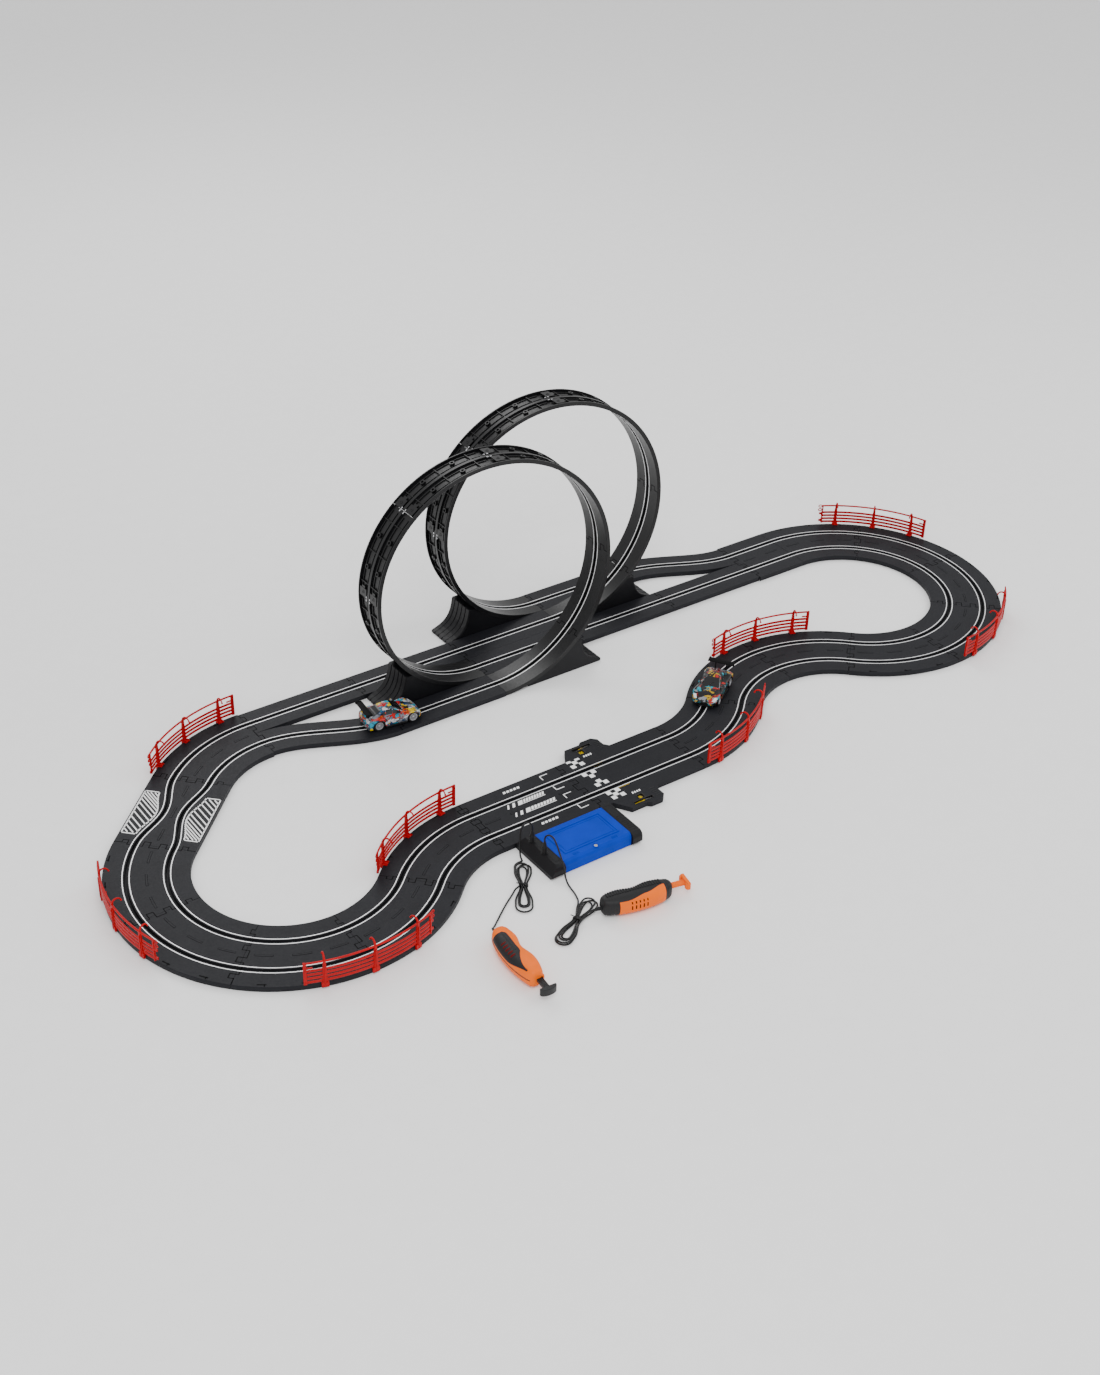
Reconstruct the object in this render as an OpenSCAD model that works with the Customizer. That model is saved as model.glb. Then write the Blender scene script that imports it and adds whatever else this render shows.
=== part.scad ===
// Slot car track set: a closed two-lane circuit with two vertical loops, two
// electric cars, two hand controllers, a battery box and lap counters.
// Origin: on the surface the set stands on, below the centre line of the joint
// between the start piece and the lap counter piece. +X runs along the front
// straight, +Y towards the back of the circuit, +Z up.

/* [Track] */
// Width of a two-lane piece
track_w = 122; // [118:1:126]
// Distance between the two slots
lane_pitch = 57; // [56:0.5:58]
// Height of the running surface above the table
track_h = 8; // [7:0.5:9]
// Radius of a curve's centre line
curve_r = 194.5; // [190:0.5:200]
// Length of the start piece
start_l = 175.5; // [170:0.5:180]
// Length of the lap counter piece
lap_l = 193.5; // [190:0.5:200]
// Length of a one-lane straight
straight_l = 195.5; // [192:0.5:198]
// Width of a one-lane piece
lane_w = 58.7; // [57:0.1:58.8]
// Sideways step of a one-lane S-curve or of a loop
lane_shift = 59; // [58.9:0.1:61]
// How far the chicane pulls each lane towards the middle
squeeze = 14.5; // [10:0.5:16]
// Width of a slot
slot_w = 3; // [2.6:0.1:3.4]
// Distance between the two contact rails of a lane
rail_gap = 9.8; // [8:0.2:12]

/* [Loops] */
// Radius of a loop at its running surface
loop_r = 196; // [190:1:205]
// Number of pieces in a loop
loop_pieces = 8; // [6:2:12]

/* [Fences] */
// Height of a fence above the running surface
fence_h = 40; // [34:1:46]
// Angle of curve that a fence covers
fence_turn = 38; // [34:1:42]

/* [Battery box] */
// Length of the battery box
box_l = 160; // [155:1:165]
// Height of the battery box
box_h = 21; // [20:1:24]
// Angle at which the lid stands; 0 is shut
lid_open = 0; // [0:5:70]

/* [Cars] */
// Distance between a car's axles
wheelbase = 58; // [54:1:62]
// Diameter of a tyre
tyre_d = 18.8; // [17:0.2:20]
// Width of a car over its tyres
car_w = 44; // [42:1:46]

/* [Controllers] */
// Length of a controller's body
grip_l = 107; // [100:1:115]
// Thickness of a controller's body as it lies
grip_t = 30; // [26:1:34]

/* [Hidden] */

$fn = 64;
eps = 0.01;
charcoal = [0.25, 0.25, 0.27];
s45 = sqrt(0.5);

// ---- layout of the circuit -------------------------------------------------
turn = 45;
lane_y = lane_pitch / 2;
back_y = 2 * curve_r;
chicane_l = 2 * curve_r * (sqrt(2) - 1);
left_x = -start_l - 2 * curve_r * s45 + chicane_l * s45;
right_x = lap_l + 4 * curve_r * s45;
half_l = right_x - left_x - 5 * straight_l;
// lanes of the back section, from the nearest to the farthest
lane_a = back_y - lane_y - lane_shift;
lane_b = back_y - lane_y;
lane_c = back_y + lane_y;
lane_d = back_y + lane_y + lane_shift;
// distance of a one-lane piece's slot from its centre line
lane_offset = (lane_w - lane_pitch) / 2 + 0.15;
near_x = left_x + 2 * straight_l;
far_x = left_x + 3 * straight_l;
split_x = right_x - half_l;

// ---- cross-sections --------------------------------------------------------
plate_t = 2.4;
skirt_t = 2;
slot_d = 5.2;
web_t = 1.2;
rail_w = 1.2;
rail_h = 0.12;

// Walls and floor of a channel, before its slot is cut
module channel(slots) {
    for (s = slots) {
        translate([s - slot_w / 2 - web_t, track_h - slot_d - web_t])
            square([slot_w + 2 * web_t, slot_d + web_t - plate_t / 2]);
    }
}

// Hollow plate with skirts and one channel per slot, x sideways and y up
module section(w, slots) {
    difference() {
        translate([-w / 2, 0]) square([w, track_h]);
        translate([-w / 2 + skirt_t, -eps]) square([w - 2 * skirt_t, track_h - plate_t + eps]);
    }
    channel(slots);
}

module slot_cuts(slots) {
    for (s = slots) {
        translate([s - slot_w / 2, track_h - slot_d]) square([slot_w, slot_d + 1]);
    }
}

module track_section(w, slots) {
    difference() {
        section(w, slots);
        slot_cuts(slots);
    }
}

module rail_section(slots) {
    for (s = slots, side = [-1, 1]) {
        translate([s + side * rail_gap / 2 - rail_w / 2, track_h]) square([rail_w, rail_h]);
    }
}

double_slots = [-lane_y, lane_y];
seam = 0.15;

// ---- sweeps along straights and arcs ---------------------------------------
module sweep_straight(l) {
    rotate([90, 0, 90]) linear_extrude(l) children();
}

// a is positive to the left
module sweep_arc(r, a) {
    if (a > 0) {
        translate([0, r, 0]) rotate([0, 0, -90]) rotate_extrude(angle = a, $fn = 160)
            translate([r, 0]) mirror([1, 0]) children();
    } else {
        translate([0, -r, 0]) rotate([0, 0, 90 + a]) rotate_extrude(angle = -a, $fn = 160)
            translate([r, 0]) children();
    }
}

// One track piece, cut short at both ends by the seam between pieces
module straight_piece(l) {
    translate([seam, 0, 0]) sweep_straight(l - 2 * seam) children();
}

module curved_piece(a) {
    side = a > 0 ? 1 : -1;
    cut = seam / curve_r * 180 / PI;
    translate([0, side * curve_r, 0]) rotate([0, 0, side * cut]) translate([0, -side * curve_r, 0])
        sweep_arc(curve_r, a - side * 2 * cut) children();
}

// Closed skin over n + 1 rings of m points. Each ring runs out along the top and
// back along the underside, so its ends are rows of four-sided faces.
module skin(points, m, n) {
    sides = [for (i = [0 : n - 1], j = [0 : m - 1])
        [i * m + j, i * m + (j + 1) % m, (i + 1) * m + (j + 1) % m, (i + 1) * m + j]];
    first = [for (j = [0 : m / 2 - 2]) [m - 1 - j, m - 2 - j, j + 1, j]];
    last = [for (j = [0 : m / 2 - 2]) [for (k = [j, j + 1, m - 2 - j, m - 1 - j]) n * m + k]];
    polyhedron(points, concat(sides, first, last), convexity = 8);
}

// Sweeps a profile over a length l while it moves d sideways in one half wave,
// or out and back in two
module wave_sweep(l, d, halves, profile, n = 24) {
    points = [for (i = [0 : n]) let (u = i / n, w = 180 * halves * u,
            slope = d * halves * PI / 2 * sin(w) / l, k = sqrt(1 + slope * slope))
        for (p = profile) [l * u - p[0] * slope / k, d * (1 - cos(w)) / 2 + p[0] / k, p[1]]];
    skin(points, len(profile), n);
}

// Rectangle as a ring that wave_sweep takes
function bar_profile(c, w, z0, z1) = [[c - w / 2, z0], [c - w / 2, z1], [c + w / 2, z1], [c + w / 2, z0]];

// One-lane section as such a ring. z is the running surface and side says on
// which side the other lane is: the slot is nearer to that edge.
function lane_profile(side, w, z, skirt, depth) = let (lo = -w / 2 - side * lane_offset,
        hi = w / 2 - side * lane_offset, s = slot_w / 2, t = slot_w / 2 + web_t)
    [[lo, z - skirt], [lo, z], [-s, z], [-s, z - depth], [s, z - depth], [s, z], [hi, z],
        [hi, z - skirt], [hi - skirt_t, z - skirt], [hi - skirt_t, z - plate_t], [t, z - plate_t],
        [t, z - depth - web_t], [-t, z - depth - web_t], [-t, z - plate_t],
        [lo + skirt_t, z - plate_t], [lo + skirt_t, z - skirt]];

// ---- places of the curves: [x, y, heading, turn] ---------------------------
function step(p, t) = let (side = t > 0 ? 1 : -1, a = abs(t), h = p[2],
        dx = curve_r * sin(a), dy = side * curve_r * (1 - cos(a)))
    [p[0] + dx * cos(h) - dy * sin(h), p[1] + dx * sin(h) + dy * cos(h), h + t];
function chain(p, turns, i = 0) = i == len(turns) ? [] :
    concat([[p[0], p[1], p[2], turns[i]]], chain(step(p, turns[i]), turns, i + 1));
left_turns = [turn, -turn, -turn, -turn, -turn];
left_chain = chain([-start_l, 0, 180], left_turns);
left_end = step(left_chain[4], -turn);
last_left = [left_end[0] + chicane_l * s45, left_end[1] + chicane_l * s45, turn, -turn];
right_turns = [turn, -turn, -turn, turn, turn, turn, turn, turn];
right_chain = chain([lap_l, 0, 0], right_turns);

module at_place(p) {
    translate([p[0], p[1], 0]) rotate([0, 0, p[2]]) children();
}

module curves(places) {
    for (p = places) {
        at_place(p) curved_piece(p[3]) track_section(track_w, double_slots);
    }
}

// ---- two-lane pieces -------------------------------------------------------
// A wall closes the joint end; its tongue runs on under the lap counter piece
tongue_w = 20;
tongue_in = 20;
tongue_out = 15;
tongue_t = 1.5;

module start_piece() {
    color(charcoal) {
        difference() {
            union() {
                translate([-start_l, 0, 0]) straight_piece(start_l) section(track_w, double_slots);
                translate([-seam - skirt_t, -track_w / 2, 0]) cube([skirt_t, track_w, track_h - eps]);
            }
            translate([-start_l, 0, 0]) sweep_straight(start_l) slot_cuts(double_slots);
        }
        translate([-tongue_in, -tongue_w / 2, 0]) cube([tongue_in + tongue_out, tongue_w, tongue_t]);
    }
}

module left_curves() {
    color(charcoal) curves(concat(left_chain, [last_left]));
}

module right_curves() {
    color(charcoal) curves(right_chain);
}

module half_straight() {
    color(charcoal) translate([split_x, back_y, 0])
        straight_piece(half_l) track_section(track_w, double_slots);
}

// Each lane of the chicane runs in to the middle and back out
module chicane_lanes(profile) {
    for (side = [-1, 1]) {
        translate([0, side * lane_y, 0]) wave_sweep(chicane_l, -side * squeeze, 2, profile);
    }
}

module chicane_piece() {
    channel_top = track_h - plate_t / 2;
    color(charcoal) at_place(left_end) difference() {
        union() {
            straight_piece(chicane_l) section(track_w, []);
            intersection() {
                chicane_lanes(bar_profile(0, slot_w + 2 * web_t, track_h - slot_d - web_t, channel_top));
                translate([seam, -track_w / 2, 0]) cube([chicane_l - 2 * seam, track_w, track_h]);
            }
        }
        chicane_lanes(bar_profile(0, slot_w, track_h - slot_d, track_h + 1));
    }
}

// ---- lap counter piece -----------------------------------------------------
// One counter on each side. The far one shows its number on the left of its
// dial, the near one on the right.
dial_x = [64.5, 56.5];
window_side = [-1, 1];
dial_y = 70;
dial_r = 13.5;
dial_z = 2.2;
dial_t = 1.4;
dial_pin_r = 1.5;
window_reach = 8;
window_w = 9;
lever_x = 46;
lever_y = 38;
lever_z = 3.8;
lever_t = 1.4;
lever_pin_r = 1.2;
lever_l = 28;
pin_clear = 0.05;

// Outline of the bulge that holds one counter, on the +Y side
module lap_bulge(inset) {
    edge = track_w / 2;
    polygon([[20 + inset, edge - 6], [20 + inset, edge], [37 + inset / 2, 87 - inset],
        [64, 87 - inset], [70, 92 - inset], [90 - inset / 2, 92 - inset], [98 - inset, 84 - inset],
        [98 - inset, edge + 8], [104 - inset, edge], [104 - inset, edge - 6]]);
}

module lap_counter_piece() {
    under = track_h - plate_t;
    color(charcoal) {
        difference() {
            union() {
                straight_piece(lap_l) section(track_w, double_slots);
                for (m = [0, 1]) {
                    mirror([0, m, 0]) linear_extrude(track_h) lap_bulge(0);
                }
            }
            sweep_straight(lap_l) slot_cuts(double_slots);
            for (m = [0, 1]) {
                mirror([0, m, 0]) {
                    translate([0, 0, -1]) linear_extrude(under + 1) lap_bulge(skirt_t);
                    // number window
                    translate([dial_x[m] + window_side[m] * window_reach - window_w / 2,
                        dial_y - window_w / 2, 0]) cube([window_w, window_w, track_h + 1]);
                    // slit over the rim of the dial
                    translate([46, dial_y + 7, 0]) cube([34, 5, track_h + 1]);
                    // slit over the lever, and its way through the channel's wall
                    translate([lever_x, lever_y - 6, 2]) cube([lever_l, 4, track_h]);
                    translate([lever_x + 5, lane_y, -1]) cube([18, 4, under + 1]);
                }
            }
        }
        // pins that the dials and the levers turn on
        for (m = [0, 1]) {
            mirror([0, m, 0]) {
                translate([dial_x[m], dial_y, dial_z - 0.4]) cylinder(r = dial_pin_r, h = under - 1);
                translate([lever_x, lever_y, lever_z - 0.4]) cylinder(r = lever_pin_r, h = under - 3);
            }
        }
    }
}

// The dial's sixteen notches are what the lever's arm pushes
module lap_dial(m) {
    color("gold") mirror([0, m, 0]) translate([dial_x[m], dial_y, dial_z]) difference() {
        union() {
            cylinder(r = dial_r, h = dial_t);
            cylinder(r = 4, h = 3);
        }
        for (a = [0 : 22.5 : 337.5]) {
            rotate([0, 0, a]) translate([dial_r - 1, -0.8, -1]) cube([2, 1.6, 4]);
        }
        translate([0, 0, -1]) cylinder(r = dial_pin_r + pin_clear, h = 6);
    }
}

// A bar beside the slot with a cam that stands in it, and an arm to the dial
module lap_lever(m) {
    arm_x = dial_x[m] + 5.5 - lever_x;
    color("gold") mirror([0, m, 0]) translate([lever_x, lever_y, lever_z]) linear_extrude(lever_t)
        difference() {
            union() {
                circle(r = 3);
                translate([-2.4, -6]) square([4.8, 6]);
                translate([0, -6]) square([lever_l - 1, 3.4]);
                polygon([[8, -5.5], [13, -9.2], [18, -5.5]]);
                translate([arm_x - 1.2, -4]) square([2.4, 18]);
            }
            circle(r = lever_pin_r + pin_clear);
        }
}

// ---- one-lane pieces -------------------------------------------------------
// The slot is nearer to the edge that faces the other lane, on the side given
module lane_section(side) {
    translate([-side * lane_offset, 0]) track_section(lane_w, [side * lane_offset]);
}

module lane_straights() {
    color(charcoal) {
        translate([left_x + straight_l, lane_a, 0]) straight_piece(straight_l) lane_section(1);
        for (i = [0 : 2]) {
            translate([near_x + i * straight_l, lane_b, 0]) straight_piece(straight_l) lane_section(1);
            translate([left_x + i * straight_l, lane_c, 0]) straight_piece(straight_l) lane_section(-1);
        }
        translate([far_x, lane_d, 0]) straight_piece(straight_l) lane_section(-1);
    }
}

module lane_wave(x, y, profile) {
    translate([x + seam, y, 0]) wave_sweep(straight_l - 2 * seam, -lane_shift, 1, profile);
}

module lane_s_curves() {
    color(charcoal) {
        lane_wave(left_x, lane_b, lane_profile(1, lane_w, track_h, track_h, slot_d));
        lane_wave(split_x - straight_l, lane_d, lane_profile(-1, lane_w, track_h, track_h, slot_d));
    }
}

// ---- loops -----------------------------------------------------------------
// Point of a loop piece: t is the angle from the bottom, a is sideways and b is
// towards the loop's centre. The lane moves sideways mostly over the top.
function loop_point(cx, y0, t, a, b) = [
    cx + (loop_r - b) * sin(t),
    y0 + lane_shift * (t * PI / 180 - sin(t)) / (2 * PI) + a,
    track_h + loop_r - (loop_r - b) * cos(t)];

loop_skirt = 7;
loop_slot_d = 4.5;

// Sweeps a profile round the loop from angle t0 to t1 in n steps
module loop_sweep(cx, y0, profile, t0, t1, n) {
    skin([for (i = [0 : n], p = profile) loop_point(cx, y0, t0 + (t1 - t0) * i / n, p[0], p[1])],
        len(profile), n);
}

module loop(cx, y0, side) {
    piece = 360 / loop_pieces;
    cut = seam / loop_r * 180 / PI;
    color(charcoal) for (i = [0 : loop_pieces - 1]) {
        loop_sweep(cx, y0, lane_profile(side, lane_w - 2 * seam, 0, loop_skirt, loop_slot_d),
            i * piece + cut, (i + 1) * piece - cut, 8);
    }
}

module loop_rails(cx, y0) {
    piece = 360 / loop_pieces;
    cut = seam / loop_r * 180 / PI;
    for (side = [-1, 1]) {
        strip = bar_profile(side * rail_gap / 2, rail_w, 0, rail_h);
        for (i = [0 : loop_pieces - 1]) {
            loop_sweep(cx, y0, strip, i * piece + cut, (i + 1) * piece - cut, 8);
        }
    }
}

// ---- loop supports ---------------------------------------------------------
support_reach = 192;
support_top = 58;
support_w = 55;
support_ribs = 5;
under_r = loop_r + loop_skirt + 0.3;
support_t0 = 13;
support_t1 = 43;
foot_h = 4;

// Side view of a support for the +X side of a loop centred over x = 0.
// inset moves its ribbed outer face inwards.
module support_outline(inset) {
    cz = track_h + loop_r;
    top_x = under_r * sin(support_t1);
    top_z = cz - under_r * cos(support_t1);
    foot_x = support_reach - inset;
    shoulder = top_x + 12 - inset;
    // concave outer face, an arc from the foot up to the shoulder
    face = [for (i = [0 : 8]) let (f = i / 8, sag = 9 * sin(180 * f))
        [foot_x + (shoulder - foot_x) * f - sag, foot_h + (top_z - foot_h) * f - sag]];
    under = [for (i = [0 : 10]) let (t = support_t1 + (support_t0 - support_t1) * i / 10)
        [under_r * sin(t), cz - under_r * cos(t)]];
    polygon(concat([[under_r * sin(support_t0), 0], [foot_x, 0]], face, under));
}

// Prism of a side view, centred on y = 0
module upright(w) {
    translate([0, w / 2, 0]) rotate([90, 0, 0]) linear_extrude(w) children();
}

module loop_support() {
    difference() {
        union() {
            upright(support_w) support_outline(1.5);
            for (i = [0 : support_ribs - 1]) {
                pitch = support_w / support_ribs;
                translate([0, (i - (support_ribs - 1) / 2) * pitch, 0])
                    upright(pitch - 2) support_outline(0);
            }
        }
        // hollow from below
        translate([0, 0, -1]) intersection() {
            upright(support_w - 5) difference() {
                support_outline(6);
                translate([0, 3]) mirror([0, 1]) square([300, 300]);
            }
            translate([60, -40, 3]) cube([115, 80, 100]);
        }
        translate([70, -support_w / 2 + 2.5, -1]) cube([80, support_w - 5, 9]);
    }
}

module loop_supports() {
    color(charcoal) for (p = [[near_x, lane_a, lane_b], [far_x, lane_c, lane_d]]) {
        translate([p[0], p[1] + 0.5, 0]) loop_support();
        translate([p[0], p[2], 0]) mirror([1, 0, 0]) loop_support();
    }
}

// ---- contact rails ---------------------------------------------------------
module contact_rails() {
    color("silver") {
        translate([-start_l, 0, 0]) straight_piece(start_l) rail_section(double_slots);
        straight_piece(lap_l) rail_section(double_slots);
        for (p = concat(left_chain, [last_left], right_chain)) {
            at_place(p) curved_piece(p[3]) rail_section(double_slots);
        }
        for (side = [-1, 1]) {
            strip = bar_profile(side * rail_gap / 2, rail_w, track_h, track_h + rail_h);
            at_place(left_end) chicane_lanes(strip);
            lane_wave(left_x, lane_b, strip);
            lane_wave(split_x - straight_l, lane_d, strip);
        }
        translate([split_x, back_y, 0]) straight_piece(half_l) rail_section(double_slots);
        translate([left_x + straight_l, lane_a, 0]) straight_piece(straight_l) rail_section([0]);
        for (i = [0 : 2]) {
            translate([near_x + i * straight_l, lane_b, 0]) straight_piece(straight_l) rail_section([0]);
            translate([left_x + i * straight_l, lane_c, 0]) straight_piece(straight_l) rail_section([0]);
        }
        translate([far_x, lane_d, 0]) straight_piece(straight_l) rail_section([0]);
        loop_rails(near_x, lane_a);
        loop_rails(far_x, lane_c);
    }
}

// ---- fences ----------------------------------------------------------------
fence_in = curve_r + track_w / 2 + 0.3;
fence_t = 2;
slat_h = 4.4;
slat_gap = 2;
slats = 4;
post_w = 5;
hook_r = 7;
// [x, y] of a curve's centre and the angle at a fence's middle
left_fence_places = [
    [last_left[0] + curve_r * s45, last_left[1] - curve_r * s45, 113],
    [left_chain[1][0] + curve_r * -s45, left_chain[1][1] + curve_r * s45, 178],
    [left_chain[1][0] + curve_r * -s45, left_chain[1][1] + curve_r * s45, 268.5],
    [-start_l, -curve_r, 113]];
right_fence_places = [
    [lap_l, curve_r, 291.5],
    [right_chain[2][0], right_chain[2][1] - curve_r, 82],
    [right_x, curve_r, 292.5],
    [right_x, curve_r, 41]];

// A bar that follows the edge of the curve
module fence_bar(z, h, t) {
    rotate([0, 0, -fence_turn / 2]) rotate_extrude(angle = fence_turn, $fn = 160)
        translate([fence_in, z]) square([t, h]);
}

module fence_post(a) {
    rotate([0, 0, a]) translate([fence_in, 0, 0]) {
        translate([0, -post_w / 2, 2]) cube([fence_t + 1, post_w, track_h + fence_h - 2]);
        // clip that grips the track's edge
        translate([-6, -post_w, track_h]) cube([8, 2 * post_w, 2]);
        translate([0, -post_w, 2]) cube([fence_t + 1.6, 2 * post_w, 8]);
        // hooked head, bent towards the track
        translate([-hook_r + fence_t, -1.2, track_h + fence_h]) rotate([-90, 0, 0])
            rotate_extrude(angle = -170) translate([hook_r - 2.4, 0]) square([2.4, 2.4]);
    }
}

module fence() {
    base = track_h + 3;
    for (i = [0 : slats - 1]) {
        fence_bar(base + i * (slat_h + slat_gap), slat_h, fence_t);
    }
    fence_bar(track_h + fence_h - 4, 3, 3);
    for (a = [-0.36, 0, 0.36] * fence_turn) {
        fence_post(a);
    }
    // plate at one end, open frame at the other
    for (a = [-0.488, 0.488] * fence_turn) {
        rotate([0, 0, a]) translate([fence_in, -1.5, base]) cube([fence_t + 0.6, 3, fence_h - 4]);
    }
}

module fences(places) {
    color("crimson") for (p = places) {
        translate([p[0], p[1], 0]) rotate([0, 0, p[2]]) fence();
    }
}

// ---- battery box -----------------------------------------------------------
box_x0 = -155;
box_x1 = box_x0 + box_l;
box_y0 = -152;
box_y1 = -track_w / 2 - 0.3;
cap_l = 24;
cap_r = 17;
lid_x0 = box_x0 + cap_l + 0.4;
lid_x1 = box_x1 - cap_r - 0.4;
lid_back = -72.5;
lid_front = -148;
lid_t = 2.5;
lid_axis_y = lid_back - 1.5;
lid_axis_z = box_h - 1.25;
screw_x = (lid_x0 + lid_x1) / 2;
screw_y = -141;
cell_d = 14.3;
cell_l = 50;
cell_rows = 3;
cell_y0 = -122;
plug_x = -143;
plug_ys = [-84, -115];
jack_r = 1.75;

module box_cap(x, l) {
    translate([x, 0, 0]) rotate([90, 0, 90]) linear_extrude(l)
        polygon([[box_y0 + 4, 0], [box_y1, 0], [box_y1, 7.9], [box_y1 - 9, box_h], [box_y0 + 7, box_h],
            [box_y0 + 2, box_h - 3], [box_y0, box_h - 8], [box_y0, 4]]);
}

module battery_base() {
    color(charcoal) difference() {
        union() {
            translate([box_x0, box_y0 + 7, 0]) cube([box_l, box_y1 - box_y0 - 7, 2]);
            difference() {
                box_cap(box_x0, cap_l);
                // the outer face leans in
                translate([box_x0, 0, 6]) rotate([0, 33, 0]) translate([-20, box_y0 - 1, 0])
                    cube([20, 100, 40]);
            }
            box_cap(box_x1 - cap_r, cap_r);
            // rear wall with the spine that the lid's edge lies against
            translate([box_x0 + 10, -71.5, 0]) cube([box_l - 20, 71.5 + box_y1, 7.9]);
            translate([lid_x0 - 1, -71.5, 0]) cube([lid_x1 - lid_x0 + 2, 3, box_h - 3]);
            // boss for the lid's screw
            translate([screw_x, screw_y, 0]) cylinder(d = 9, h = 8);
            // cradle ribs beside the cells
            for (i = [0 : cell_rows]) {
                translate([screw_x - cell_l, cell_y0 - 8.1 + i * 15.2, 2])
                    cube([2 * cell_l, 0.8, 6]);
            }
        }
        // sockets for the controllers' plugs
        for (y = plug_ys) {
            translate([plug_x, y, box_h - 12]) cylinder(r = jack_r + 0.05, h = 13);
        }
        translate([screw_x, screw_y, 3]) cylinder(r = 1.3, h = 6);
    }
}

module battery_lid() {
    w = lid_x1 - lid_x0;
    color([0.15, 0.38, 0.8]) translate([0, lid_axis_y, lid_axis_z]) rotate([-lid_open, 0, 0])
        translate([0, -lid_axis_y, -lid_axis_z]) difference() {
            translate([lid_x0, 0, 0]) rotate([90, 0, 90]) linear_extrude(w) {
                // rounded edge that the lid turns on
                translate([lid_axis_y, lid_axis_z]) circle(r = lid_t / 2);
                polygon([[lid_axis_y, box_h - lid_t], [lid_axis_y, box_h], [lid_front + 5, box_h],
                    [lid_front + 1.5, box_h - 2.5], [lid_front, box_h - 7], [lid_front, 0.6],
                    [lid_front + lid_t, 0.6], [lid_front + lid_t, box_h - 8],
                    [lid_front + 5, box_h - lid_t]]);
            }
            translate([screw_x, screw_y, box_h - 1.2]) cylinder(r = 3.2, h = 3);
            translate([screw_x, screw_y, 0]) cylinder(r = 1.4, h = 30);
        }
}

module lid_screw() {
    color("silver") difference() {
        union() {
            translate([screw_x, screw_y, box_h - 1.2]) cylinder(r = 2.6, h = 1.1);
            translate([screw_x, screw_y, 10]) cylinder(r = 1.3, h = box_h - 11);
        }
        for (a = [0, 90]) {
            translate([screw_x, screw_y, box_h]) rotate([0, 0, a]) cube([3.4, 0.7, 1.2], center = true);
        }
    }
}

module batteries() {
    color("darkgreen") for (i = [0 : cell_rows - 1], k = [0, 1]) {
        translate([screw_x - cell_l + k * (cell_l + 0.2), cell_y0 + i * 15.2, 2.2 + cell_d / 2])
            rotate([0, 90, 0]) {
                cylinder(d = cell_d, h = cell_l - 1.4);
                cylinder(d = 5.2, h = cell_l - 0.2);
            }
    }
}

// Sheet metal plates, with a coil spring at each cell's flat end
module battery_contacts() {
    color("silver") for (i = [0 : cell_rows - 1]) {
        y = cell_y0 + i * 15.2;
        z = 2.2 + cell_d / 2;
        translate([screw_x + cell_l + 0.4, y - 6, 3]) cube([0.5, 12, 12]);
        translate([screw_x - cell_l - 5, y - 6, 3]) cube([0.5, 12, 12]);
        for (k = [0 : 3]) {
            translate([screw_x - cell_l - 4.3 + 0.9 * k, y, z]) rotate([0, 90, 0])
                difference() {
                    cylinder(r = 4.6 - 0.5 * k, h = 0.9);
                    translate([0, 0, -1]) cylinder(r = 3.8 - 0.5 * k, h = 3);
                }
        }
    }
}

// ---- controllers -----------------------------------------------------------
// [x, y, heading] of the middle of each controller's butt
controller_1_place = [-290, -214, -95];
controller_2_place = [-141, -248, -11.5];
grip_w = 42;
wall = 2;
plunger_w = 9;
plunger_t = 4.5;
plunger_out = 25;
plunger_in = 20;
plunger_travel = 12;
relief_l = 12;

// Half-width of the body on its straight side and on its waisted side
function grip_right(f) = grip_w * 0.48 * pow(max(sin(180 * (0.06 + 0.88 * f)), 0), 0.45) - 2 * f;
function grip_left(f) = grip_w * 0.46 * pow(max(sin(180 * (0.06 + 0.88 * f)), 0), 0.4)
    * (1 - 0.42 * exp(-pow((f - 0.45) / 0.16, 2)));

module grip_plan(inset) {
    n = 24;
    l = grip_l - 2 * inset;
    polygon(concat(
        [for (i = [0 : n]) [inset + l * i / n, -grip_right(i / n) + inset]],
        [for (i = [n : -1 : 0]) [inset + l * i / n, grip_left(i / n) - inset]]));
}

// Rounded body: the plan view met by a rounded front view
module grip_form(inset) {
    intersection() {
        translate([0, 0, inset]) linear_extrude(grip_t - 2 * inset) grip_plan(inset);
        translate([-1, 0, grip_t / 2]) rotate([90, 0, 90]) linear_extrude(grip_l + 2) {
            intersection() {
                square([grip_w * 1.1, grip_t - 2 * inset], center = true);
                circle(r = grip_w * 0.56 - inset, $fn = 96);
            }
        }
    }
}

// The part of the body's upper side that the second colour covers
module panel_zone(grow) {
    translate([grip_l * 0.16 - grow, -grip_w, grip_t * 0.5 - grow])
        linear_extrude(grip_t) polygon([[0, 0], [grip_l * 0.62 + 2 * grow, 0],
            [grip_l * 0.72 + 2 * grow, grip_w * 1.16 + grow], [grip_l * 0.3, grip_w * 0.95 + grow],
            [0, grip_w * 1.08 + grow]]);
}

module vent_slots() {
    for (i = [0 : 4], row = [0, 1]) {
        translate([grip_l * 0.3 + i * 5.5, -14 + 10 * row, grip_t - 6]) cube([1.6, 6, 10]);
    }
}

module plunger_way(extra) {
    translate([grip_l - plunger_in - plunger_travel - 2, 4 - plunger_w / 2 - extra,
        grip_t / 2 - plunger_t / 2 - extra])
        cube([60, plunger_w + 2 * extra, plunger_t + 2 * extra]);
}

module at_controller(p) {
    translate([p[0], p[1], 0]) rotate([0, 0, p[2]]) children();
}

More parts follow.
